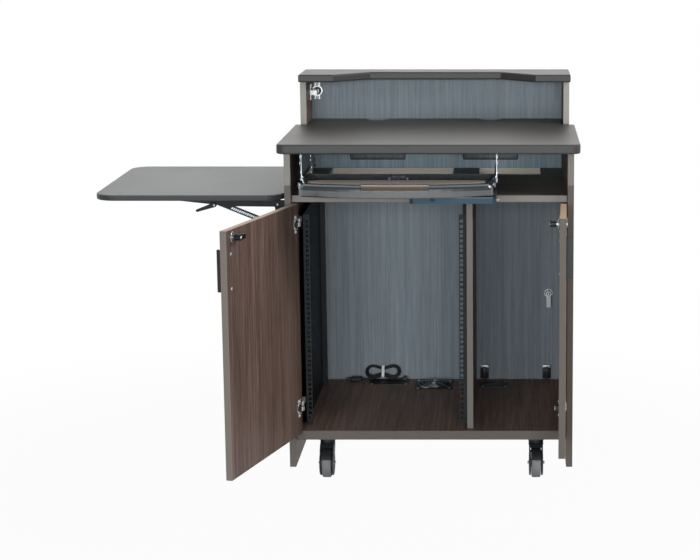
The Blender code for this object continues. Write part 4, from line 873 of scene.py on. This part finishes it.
for door, lock in locks.items():
    place = doorPlace(door)
    inward = (place.to_3x3() @ Vector((0.0, lock["into"], 0.0))).normalized()
    tip = place @ Vector((lock["x"], lock["inner"] + lock["into"] * lock["reach"], lock["z"]))
    split = inward.dot(tip) - lock["camLong"]
    dress(lockFinish(f"{door}_lock_finish", tuple(inward), split, lock["cam"]), f"{door}_lock")
    ringAt = aim(place @ Vector((lock["x"], lock["inner"], lock["z"])), inward)
    ri, ro, h = lockRing["inner"], lockRing["outer"], lockRing["thick"]
    ease, bevel = lockRing["ease"], lockRing["bevel"]
    bm = bmesh.new()
    addTurned(bm, [
        (ri, seated), (ro - ease, seated), (ro, bevel), (ro, h - bevel), (ro - bevel, h), (ri + ease, h),
        (ri, h - ease), (ri, seated),
    ], ringAt, 40)
    for k in range(lockLug["count"]):  # grip lugs round the ring
        turn = Matrix.Rotation(2 * math.pi * k / lockLug["count"], 4, "Z")
        low = (ro - lockLug["sunk"], -lockLug["half"], lockLug["inset"])
        high = (ro + lockLug["proud"], lockLug["half"], h - lockLug["inset"])
        addBlock(bm, low, high, lockLug["ease"], 1, ringAt @ turn)
    piece(f"{door}LockRing", bm, brightNickel, door)
    fasteners(f"{door}CamScrew", f"{door}_lock", "pan", 1.35, [(tip + inward * seated, inward)])
    faceY = lock["outer"] - lock["into"] * keyFace["proud"]
    faceAt = aim(place @ Vector((lock["x"], faceY, lock["z"])), -inward)
    bm = bmesh.new()
    addTurned(bm, keyProfile, faceAt, 32)
    (slotX, slotY), (z0, z1) = keyFace["slotHalf"], keyFace["slotZs"]
    addBlock(bm, (-slotX, -slotY, z0), (slotX, slotY, z1), keyFace["ease"], 1, faceAt, 1)
    piece(f"{door}KeyFace", bm, [brightNickel, seamDark], f"{door}_lock")
print("locks finished")

# fan guard: wire rings and legs from a node tree
guard = {
    "Rings": ("Int", 5), "First radius": ("Float", 0.009), "Ring step": ("Float", 0.0108),
    "Wire radius": ("Float", 0.0009), "Dome rise": ("Float", 0.0100), "Legs": ("Int", 4),
    "Leg reach": ("Float", 0.0735),
}
guardLeg = {"from": 0.004, "firstHandle": 0.55, "lastHandle": 0.80, "lastRise": 0.25, "foot": 0.0006}
guardLift = 0.0008  # above the fan's frame
fanAt = cab(fan["x"], fan["y"], fan["top"])
fanGuard = addObject("fanGuard", bpy.data.meshes.new("fanGuard"))
g = Layout("fanGuard", guard)
index, rise, reach = g.node("GeometryNodeInputIndex"), g.asked("Dome rise"), g.asked("Leg reach")
share = g.maths("DIVIDE", index, g.asked("Rings"))
radius = g.asked("First radius") + index * g.asked("Ring step")
rings = g.node("GeometryNodeMeshLine", {}, {"Count": g.asked("Rings"), "Offset": (0.0, 0.0, 0.0)})
dome = g.vector(z=(1.0 - share * share) * rise)
rings = g.node("GeometryNodeSetPosition", {}, {"Geometry": rings, "Offset": dome})
circle = g.node("GeometryNodeCurvePrimitiveCircle", {}, {"Resolution": 56, "Radius": 1.0})
rings = g.copies(rings, circle, Scale=g.vector(radius, radius, 1.0))
legs = g.node("GeometryNodeMeshLine", {}, {"Count": g.asked("Legs"), "Offset": (0.0, 0.0, 0.0)})
leg = g.node("GeometryNodeCurvePrimitiveBezierSegment", {}, {
    "Resolution": 14, "Start": g.vector(guardLeg["from"], 0.0, rise),
    "Start Handle": g.vector(reach * guardLeg["firstHandle"], 0.0, rise),
    "End Handle": g.vector(reach * guardLeg["lastHandle"], 0.0, rise * guardLeg["lastRise"]),
    "End": g.vector(reach, 0.0, guardLeg["foot"]),
})
turn = g.maths("DIVIDE", 2 * math.pi, g.asked("Legs"))
legs = g.copies(legs, leg, Rotation=g.vector(z=index * turn + turn * 0.5))
both = g.node("GeometryNodeJoinGeometry", {}, {"Geometry": rings})
g.feed(both.socket.node.inputs["Geometry"], legs)
lines = g.node("GeometryNodeRealizeInstances", {}, {"Geometry": both})
section = g.node("GeometryNodeCurvePrimitiveCircle", {}, {"Resolution": 8, "Radius": g.asked("Wire radius")})
wires = g.node(
    "GeometryNodeCurveToMesh", {}, {"Curve": lines, "Profile Curve": section, "Fill Caps": True}
)
plain = g.bake(fanGuard, wires, zincPlate)
plain.transform(Matrix.Translation(fanAt + Vector((0.0, 0.0, guardLift))))
smoothen(plain)
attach(fanGuard, "cabinet")
print("fan guard", len(plain.polygons), "faces")

# flange round the fan, under the guard's feet
flange = {
    "half": 0.0625, "bore": 0.0565, "thick": 0.0016, "corner": 0.008, "ease": 0.0006, "easeFrom": 0.3,
    "steps": 9,
}
half, corner, thick, steps = (flange[k] for k in ("half", "corner", "thick", "steps"))
rim = roundedLoop(half, half, corner, corner, steps)
eased = roundedLoop(half, half, corner, corner - flange["ease"], steps)
turns = [2 * math.pi * k / (4 * steps) for k in range(4 * steps)]
bore = [(flange["bore"] * math.cos(a), flange["bore"] * math.sin(a)) for a in turns]
bm = bmesh.new()
easeAt = -thick * flange["easeFrom"]
levels = ((rim, -thick), (rim, easeAt), (eased, 0.0), (bore, 0.0), (bore, -thick))
addStrip(bm, [[fanAt + Vector((x, y, z)) for x, y in loop] for loop, z in levels], closed=True)
piece("fanFlange", bm, blackMoulding, "cabinet")

# palm rest: pad on top, glossy insert over the nose, dark seams beside it
palm = {
    "middle": -0.08925, "half": 0.28225, "front": -0.195, "bow": 0.046, "top": 0.927, "nose": 0.018,
    "steps": 9,
}
insert = {
    "left": -0.1875, "right": 0.0060, "lift": 0.0009, "endLift": 0.35, "from": 12.0, "back": 0.0285,
    "steps": 28, "backSteps": 3,
}
seam = {"gap": 0.0009, "half": 0.0006, "from": 2.0, "back": 0.060, "lift": 0.0004, "sunk": 0.0001}
pad = {
    "left": -0.345, "right": 0.167, "lift": 0.0012, "endLift": 0.3, "from": 0.030, "back": -0.0785,
    "steps": 24, "ease": 0.001,
}


def palmFront(x):
    return palm["front"] + palm["bow"] * ((x - palm["middle"]) / palm["half"]) ** 2


def noseLine(x, start, lift, backs):
    # from the start angle round the nose to its top, then back along the flat
    line = []
    r = palm["nose"]
    for t in range(palm["steps"] + 1):
        angle = math.radians(start + (90 - start) * t / palm["steps"])
        y = palmFront(x) + r - (r + lift) * math.cos(angle)
        line.append(cab(x, y, palm["top"] - r + (r + lift) * math.sin(angle)))
    return line + [cab(x, palmFront(x) + back, palm["top"] + lift) for back in backs]


def noseBand(x, start, lift, under, backs):
    return noseLine(x, start, lift, backs) + list(reversed(noseLine(x, start, under, backs)))


def across(span):
    # places from left to right with the lift there, which is less at the two ends
    for k in range(span["steps"] + 1):
        lift = span["lift"] * (1.0 if 0 < k < span["steps"] else span["endLift"])
        yield span["left"] + (span["right"] - span["left"]) * k / span["steps"], lift


backStep = (insert["back"] - palm["nose"]) / insert["backSteps"]
backs = [palm["nose"] + backStep * (t + 1) for t in range(insert["backSteps"])]
bm = bmesh.new()
addStrip(bm, [noseBand(x, insert["from"], lift, seated, backs) for x, lift in across(insert)])
piece("palmInsert", bm, insertGloss, "keyboard_tray")
bm = bmesh.new()
for middle in (insert["left"] - seam["gap"], insert["right"] + seam["gap"]):
    sides = around(middle, seam["half"])
    addStrip(bm, [noseBand(x, seam["from"], seam["lift"], seam["sunk"], [seam["back"]]) for x in sides])
piece("palmSeams", bm, seamDark, "keyboard_tray")
low, back, ease = palm["top"] + seated, pad["back"], pad["ease"]
loops = []
for x, lift in across(pad):
    front = palmFront(x) + pad["from"]
    outline = ((front, low), (front + ease, low + lift), (back - ease, low + lift), (back, low))
    loops.append([cab(x, y, z) for y, z in outline])
bm = bmesh.new()
addStrip(bm, loops)
piece("palmPad", bm, palmPad, "keyboard_tray")

# keyboard clip on the tray's back wall
clip = {"x": -0.094, "y": 0.0708, "low": 0.8985, "screwReach": 0.02706, "screwZ": 0.9112}
clipBlocks = {
    "plate": {"half": 0.033, "ys": (-0.0018, -0.0003), "zs": (0.006, 0.0195), "ease": 0.0006, "steps": 2},
    "body": {"half": 0.02046, "ys": (-0.0075, -0.0015), "zs": (0.0012, 0.0243), "ease": 0.0022, "steps": 3},
    "knob": {"half": 0.00726, "ys": (-0.0150, -0.0070), "zs": (0.004, 0.0215), "ease": 0.003, "steps": 3},
}
bm = bmesh.new()
addBlocks(bm, clipBlocks, Matrix.Translation(cab(clip["x"], clip["y"], clip["low"])))
piece("keyboardClip", bm, clipSteel, "keyboard_tray")
clipFace = clip["y"] + clipBlocks["plate"]["ys"][0]
spots = grid(around(clip["x"], clip["screwReach"]), (clipFace,), (clip["screwZ"],), toFront)
fasteners("clipScrews", "keyboard_tray", "pan", 0.9, spots)

# dark end stop and latch on the mouse tray's front guide
stops = {
    "face": -0.1742, "proud": 0.0014, "ease": 0.0005,
    "spans": ((-0.0498, -0.0392, 0.8740, 0.8886), (0.0098, 0.0224, 0.8806, 0.8890)),
}
bm = bmesh.new()
for left, right, bottom, top in stops["spans"]:
    low, high = (left, stops["face"] - stops["proud"], bottom), (right, stops["face"], top)
    addBlock(bm, low, high, stops["ease"], 2, Matrix.Translation(cabinetAt))
piece("guideStops", bm, seamDark, "keyboard_tray")

# pivot end of the mouse tray
pivotAt = (0.2003, -0.1585, 0.8823)
pivotProfile = [
    (0.0, 0.0), (0.0034, 0.0), (0.0034, 0.0016), (0.0043, 0.0024), (0.0043, 0.0062), (0.0036, 0.0074),
    (0.0020, 0.0082), (0.0, 0.0084),
]
bm = bmesh.new()
addTurned(bm, pivotProfile, aim(cab(*pivotAt), toRight), 28)
piece("mousePivot", bm, brightNickel, "mouse_tray")
print("tray dressed")

# inner wall of the left hanger, and the shaped front straps
strap = {
    "half": 0.0008, "back": 0.058, "high": 0.9993, "sweepRate": 1.15, "wave": 0.006, "bends": 4, "steps": 24,
}
strapFoot = {"half": 0.006, "front": 0.010, "low": 0.9977, "high": 0.9995, "ease": 0.0004}
straps = {
    "leftInner": {"x": -0.3478, "low": 0.9300, "reach": 0.022},
    "leftOuter": {"x": -0.3798, "low": 0.9060, "reach": 0.016},
    "rightOuter": {"x": 0.2013, "low": 0.9060, "reach": 0.016},
}


def strapOutline(low, reach):
    # an S-shaped front edge from the worktop down to the runner
    outline = []
    for k in range(strap["steps"] + 1):
        t = k / strap["steps"]
        sweep = reach * (0.5 - 0.5 * math.cos(math.pi * min(1.0, t * strap["sweepRate"])))
        y = sweep + strap["wave"] * math.sin(t * math.pi * strap["bends"])
        outline.append((y, strap["high"] + (low - strap["high"]) * t))
    return outline + [(strap["back"], low), (strap["back"], strap["high"])]


for label, own in straps.items():
    outline = strapOutline(own["low"], own["reach"])
    bm = bmesh.new()
    addStrip(bm, [[cab(x, y, z) for y, z in outline] for x in around(own["x"], strap["half"])])
    left, right = around(own["x"], strapFoot["half"])
    low, high = (left, strapFoot["front"], strapFoot["low"]), (right, strap["back"], strapFoot["high"])
    addBlock(bm, low, high, strapFoot["ease"], 1, Matrix.Translation(cabinetAt))
    piece(f"{label}HangerStrap", bm, zincPlate, "cabinet")

# painted shade: a dark outline round the cable notches of the rear rail, standing in for the shadow at their
# edges
notchShade = {
    "high": {"half": 0.105, "z": 0.9996, "mitre": 1.05, "rise": 0.0},
    "low": {"half": 0.089, "z": 0.896, "mitre": 0.95, "rise": 1.0},
    "thick": 0.0026, "front": 0.6464, "back": 0.6490, "middles": {"left": -0.1935, "right": 0.1755},
}
for label, middle in notchShade["middles"].items():
    loops = []
    for side, level in ((-1, "high"), (-1, "low"), (1, "low"), (1, "high")):
        end = notchShade[level]
        x, z = side * end["half"], end["z"]
        inX, inZ = x - side * notchShade["thick"] * end["mitre"], z + notchShade["thick"] * end["rise"]
        ring = ((x, "front", z), (inX, "front", inZ), (inX, "back", inZ), (x, "back", z))
        loops.append([cab(middle + a, notchShade[face], c) for a, face, c in ring])
    bm = bmesh.new()
    addStrip(bm, loops)
    piece(f"{label}NotchTrim", bm, blackMoulding, "cabinet")
print("cable notches outlined")

# two bolts on the rear door's inside, above the floor: blocks, rod and knob
bolt = {
    "xs": (0.154, 0.363), "face": 0.6852, "low": 0.1506, "rodAt": (0.0, -0.0080, 0.0004),
    "knobAt": (0.0, -0.0122, 0.021), "screwReach": 0.0110, "screwZ": 0.1640,
}
boltBlocks = {
    "plate": {
        "half": 0.0145, "ys": (-0.0018, 0.0), "zs": (0.0, 0.0379), "ease": 0.0006, "steps": 2,
        "look": 1,
    },
    "head": {"half": 0.0145, "ys": (-0.0070, 0.0), "zs": (0.0374, 0.0469), "ease": 0.0014, "steps": 3},
    "body": {
        "half": 0.0075, "ys": (-0.0125, -0.0015), "zs": (0.004, 0.0394), "ease": 0.0028, "steps": 3,
        "look": 1,
    },
}
rodProfile = [(0.0, 0.0), (0.0036, 0.0), (0.0036, 0.040), (0.0028, 0.0415), (0.0, 0.0418)]
knobProfile = [(0.0, 0.0), (0.0042, 0.0), (0.0046, 0.0012), (0.0034, 0.0050), (0.0, 0.0054)]
boltFace = bolt["face"] + boltBlocks["plate"]["ys"][0]
spots = []
for i, x in enumerate(bolt["xs"]):
    at = Matrix.Translation(cab(x, bolt["face"], bolt["low"]))
    bm = bmesh.new()
    addBlocks(bm, boltBlocks, at)
    addTurned(bm, rodProfile, at @ Matrix.Translation(bolt["rodAt"]), 20, 1)
    addTurned(bm, knobProfile, at @ aim(bolt["knobAt"], toFront), 20, 1)
    piece(f"rearBolt{i + 1}", bm, [brightNickel, blackMoulding], "rear_door")
    spots += grid(around(x, bolt["screwReach"]), (boltFace,), (bolt["screwZ"],), toFront)
fasteners("rearBoltScrews", "rear_door", "pan", 0.85, spots, forkMoulding)
print("rear bolts set")

# ratchet teeth along each brace, spread by a node tree
ratchet = {
    "long": 0.0034, "tall": 0.0075, "proud": 0.0011, "lean": 24.0, "foot": (-0.444, 0.760), "shift": 0.0006,
    "rise": (0.080, -0.196),
}
teethInputs = {"Teeth": ("Int", 15), "Pitch": ("Float", 0.0062), "Start": ("Float", 0.075)}
for label, y in zip(("front", "rear"), bracket["ys"]):
    made = addObject(f"{label}BraceTeeth", bpy.data.meshes.new(f"{label}BraceTeeth"))
    g = Layout("ratchetTeeth", teethInputs)
    row = g.node("GeometryNodeMeshLine", {}, {
        "Count": g.asked("Teeth"), "Start Location": g.vector(g.asked("Start")),
        "Offset": g.vector(g.asked("Pitch")),
    })
    size = (ratchet["long"], ratchet["proud"] * 2, ratchet["tall"])
    tooth = g.node("GeometryNodeMeshCube", {}, {"Size": size})
    teeth = g.copies(row, tooth, Rotation=g.vector(y=math.radians(ratchet["lean"])))
    plain = g.bake(made, teeth, zincPlate)
    footX, footZ = ratchet["foot"]
    tilt = Matrix.Rotation(-math.atan2(*ratchet["rise"]), 4, "Y")
    plain.transform(Matrix.Translation(cab(footX, y + ratchet["shift"], footZ)) @ tilt)
    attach(made, f"{label}_brace")
print("brace teeth set")

# wheels: soft tyre on a moulded core
wheel = {
    "radius": 0.045, "half": 0.014, "rim": 0.0345, "hub": 0.012, "bore": 0.0046, "shoulder": 0.0062,
    "lip": 0.0015, "lipEase": 0.0010, "hubProud": 0.0009, "hubSlope": 0.0014, "dish": 0.0034,
    "rimSlope": (0.0040, 0.0022), "rimSunk": 0.0004, "rimGap": 0.0001,
    "spokes": 6, "spokeHalf": 0.0016, "spokeInset": 0.0010, "spokeEnd": 0.0030, "spokeEase": 0.0006,
}
r, w, rim, hub, s = (wheel[k] for k in ("radius", "half", "rim", "hub", "shoulder"))
lip, seat, dish = rim + wheel["lip"], w - wheel["lipEase"], wheel["dish"] - w
tyre = [(rim, -seat), (lip, -w)]
for k in range(9):  # a round shoulder on each side, and the middle of the tread
    angle = math.radians(-90 + 180 * k / 8)
    side = (k > 4) - (k < 4)
    tyre.append((r - s + s * math.cos(angle), (w - s) * side + s * math.sin(angle)))
tyre += [(lip, w), (rim, seat), (rim, -seat)]
hubEnd, rimEnd = -w - wheel["hubProud"], -w + wheel["rimSunk"]
slopeIn, slopeOut = (rim - reach for reach in wheel["rimSlope"])
core = [
    (wheel["bore"], hubEnd), (hub, hubEnd), (hub + wheel["hubSlope"], dish), (slopeIn, dish),
    (slopeOut, rimEnd), (rim - wheel["rimGap"], rimEnd),
]
core += [(a, -b) for a, b in reversed(core)]
core.append(core[0])
for corner in corners:
    at = aim(axleOf(corner), toRight)
    bm = bmesh.new()
    addTurned(bm, tyre, at, 48, 0)
    addTurned(bm, core, at, 48, 1)
    low = (hub, -wheel["spokeHalf"], -w + wheel["spokeInset"])
    high = (rim - wheel["spokeEnd"], wheel["spokeHalf"], w - wheel["spokeInset"])
    for k in range(wheel["spokes"]):
        turn = Matrix.Rotation(2 * math.pi * k / wheel["spokes"], 4, "Z")
        addBlock(bm, low, high, wheel["spokeEase"], 1, at @ turn, 1)
    made = piece(f"{corner}Wheel", bm, [tyreRubber, forkMoulding], f"{corner}_wheel", 35.0)
    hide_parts(f"{corner}_wheel")
print("wheels dressed")

# ribbed hood under each plate, fender over the wheel, and a guard on each side of it
hood = {
    "top": 0.1100, "low": 0.0928, "radius": 0.0226, "topEase": 0.0016, "lowEase": 0.0010,
    "grooves": 3, "grooveFrom": 0.0046, "groovePitch": 0.0042, "grooveDeep": 0.0014, "grooveWide": 0.0022,
    "grooveSlope": 0.0006,
}
fender = {
    "inner": 0.0464, "outer": 0.0482, "half": 0.0151, "crown": 0.92, "from": 24.0, "to": 152.0, "steps": 24,
}
wheelGuard = {
    "radius": 0.0385, "inner": 0.0153, "outer": 0.0213, "ease": 0.001, "edge": 0.0022,
    "edgeIn": 0.0006, "edgeShare": 0.4, "dome": 0.0004, "domeShare": 0.62, "dish": 0.0008, "dishShare": 0.56,
}
r, top, low = hood["radius"], hood["top"], hood["low"]
hoodProfile = [(0.0, top), (r - hood["topEase"], top), (r, top - hood["topEase"])]
for k in range(hood["grooves"]):
    z = top - hood["grooveFrom"] - k * hood["groovePitch"]
    end, depth = z - hood["grooveWide"], r - hood["grooveDeep"]
    hoodProfile += [(r, z), (depth, z - hood["grooveSlope"]), (depth, end + hood["grooveSlope"]), (r, end)]
hoodProfile += [(r, low + hood["lowEase"]), (r - hood["lowEase"], low), (0.0, low)]
r, inner, outer = wheelGuard["radius"], wheelGuard["inner"], wheelGuard["outer"]
ease, edge, dish = wheelGuard["ease"], wheelGuard["edge"], outer - wheelGuard["dish"]
guardProfile = [
    (0.0, inner), (r - ease, inner), (r, inner + ease), (r, outer - edge),
    (r - wheelGuard["edgeIn"], outer - edge * wheelGuard["edgeShare"]), (r - edge, outer),
    (r * wheelGuard["domeShare"], outer + wheelGuard["dome"]), (r * wheelGuard["dishShare"], dish),
    (0.0, dish),
]
for corner, (x, y) in casterAt.items():
    axle = axleOf(corner)
    bm = bmesh.new()
    addTurned(bm, hoodProfile, Matrix.Translation(cab(x, y, 0.0)), 40)
    loops = []
    for k in range(fender["steps"] + 1):
        angle = math.radians(fender["from"] + (fender["to"] - fender["from"]) * k / fender["steps"])
        ray = Vector((0.0, -math.cos(angle), math.sin(angle)))
        inner, outer = axle + ray * fender["inner"], axle + ray * fender["outer"]
        wide = Vector((fender["half"], 0.0, 0.0))
        crown = wide * fender["crown"]
        loops.append([inner - wide, outer - crown, outer + crown, inner + wide])
    addStrip(bm, loops)
    for way in (toLeft, toRight):
        addTurned(bm, guardProfile, aim(axle, way), 48)
    piece(f"{corner}Hood", bm, forkMoulding, f"{corner}_caster_fork", 35.0)
print("caster hoods set")

for head in heads.values():
    bpy.data.objects.remove(head)

# studio: pale floor, white surround, soft lamps
white = (1.0, 1.0, 1.0, 1.0)
floor = {
    "size": 14.0, "drop": 0.0005, "shade": (0.22, 0.22, 0.22, 1.0), "glow": 0.965, "near": 0.9, "far": 2.2,
}
f = Finish("studio_floor")  # white to the eye, with the shadow kept near the object
seen = f.ray("Is Camera Ray") + f.ray("Is Glossy Ray") + f.ray("Is Transmission Ray")
fade = f.fade(f.vectors("LENGTH", f.spot()), floor["near"], floor["far"])
f.set(Base_Color=floor["shade"], Roughness=0.9)
blend = f.node("ShaderNodeMixShader", {}, {
    "Fac": (seen > 0.5) * (floor["glow"] + (1.0 - floor["glow"]) * fade), 1: Value(f, f.shader.outputs[0]),
    2: f.node("ShaderNodeEmission", {}, {"Color": white}),
})
f.feed(f.tree.nodes["Material Output"].inputs["Surface"], blend)
bm = bmesh.new()
bmesh.ops.create_grid(bm, x_segments=1, y_segments=1, size=floor["size"])
studioFloor = addObject("studioFloor", meshOf("studioFloor", bm))
studioFloor.data.materials.append(f.material)
studioFloor.location.z = -floor["drop"]

# reflections meet a white backdrop behind and a dim room in front
room = {"tint": (0.93, 0.96, 1.0, 1.0), "strength": 0.24, "turnsAt": (-0.30, 0.25)}
scene.world = bpy.data.worlds.new("studioWorld")
scene.world.use_nodes = True
sky = Graph(scene.world.node_tree)
background = sky.tree.nodes["Background"]
background.inputs["Color"].default_value = room["tint"]
background.inputs["Strength"].default_value = room["strength"]
heading = sky.node("ShaderNodeSeparateXYZ", {}, {0: sky.spot("Generated")}, "Y")
mirrored = sky.ray("Is Glossy Ray") * sky.fade(heading, *room["turnsAt"])
direct = sky.maths("MAXIMUM", sky.ray("Is Camera Ray"), sky.ray("Is Transmission Ray"))
pick = sky.node("ShaderNodeMixShader", {}, {
    "Fac": sky.maths("MAXIMUM", direct, mirrored), 1: Value(sky, background.outputs[0]),
    2: sky.node("ShaderNodeBackground", {}, {"Color": white, "Strength": 1.0}),
})
sky.feed(sky.tree.nodes["World Output"].inputs["Surface"], pick)

lamps = {
    "frontSoft": {
        "at": (0.0, -7.2, 1.50), "to": (0.1, 0.3, 0.88), "size": (5.6, 1.9), "power": 400.0,
        "tint": (0.94, 0.985, 1.0),
    },
    "sideHigh": {
        "at": (3.4, -0.9, 3.0), "to": (-0.1, -0.2, 0.7), "size": (1.7, 1.7), "power": 112.0,
        "tint": (1.0, 0.98, 0.96),
    },
    "backHigh": {
        "at": (0.2, 3.4, 3.4), "to": (0.2, 0.0, 1.0), "size": (3.2, 3.2), "power": 42.0,
        "tint": (1.0, 1.0, 1.0),
    },
}
for name, lamp in lamps.items():
    light = bpy.data.lights.new(name, "AREA")
    light.shape = "RECTANGLE"
    light.size, light.size_y = lamp["size"]
    light.energy = lamp["power"]
    light.color = lamp["tint"]
    made = addObject(name, light)
    made.location = lamp["at"]
    made.rotation_euler = (Vector(lamp["to"]) - Vector(lamp["at"])).to_track_quat("-Z", "Y").to_euler()
print("studio lit")
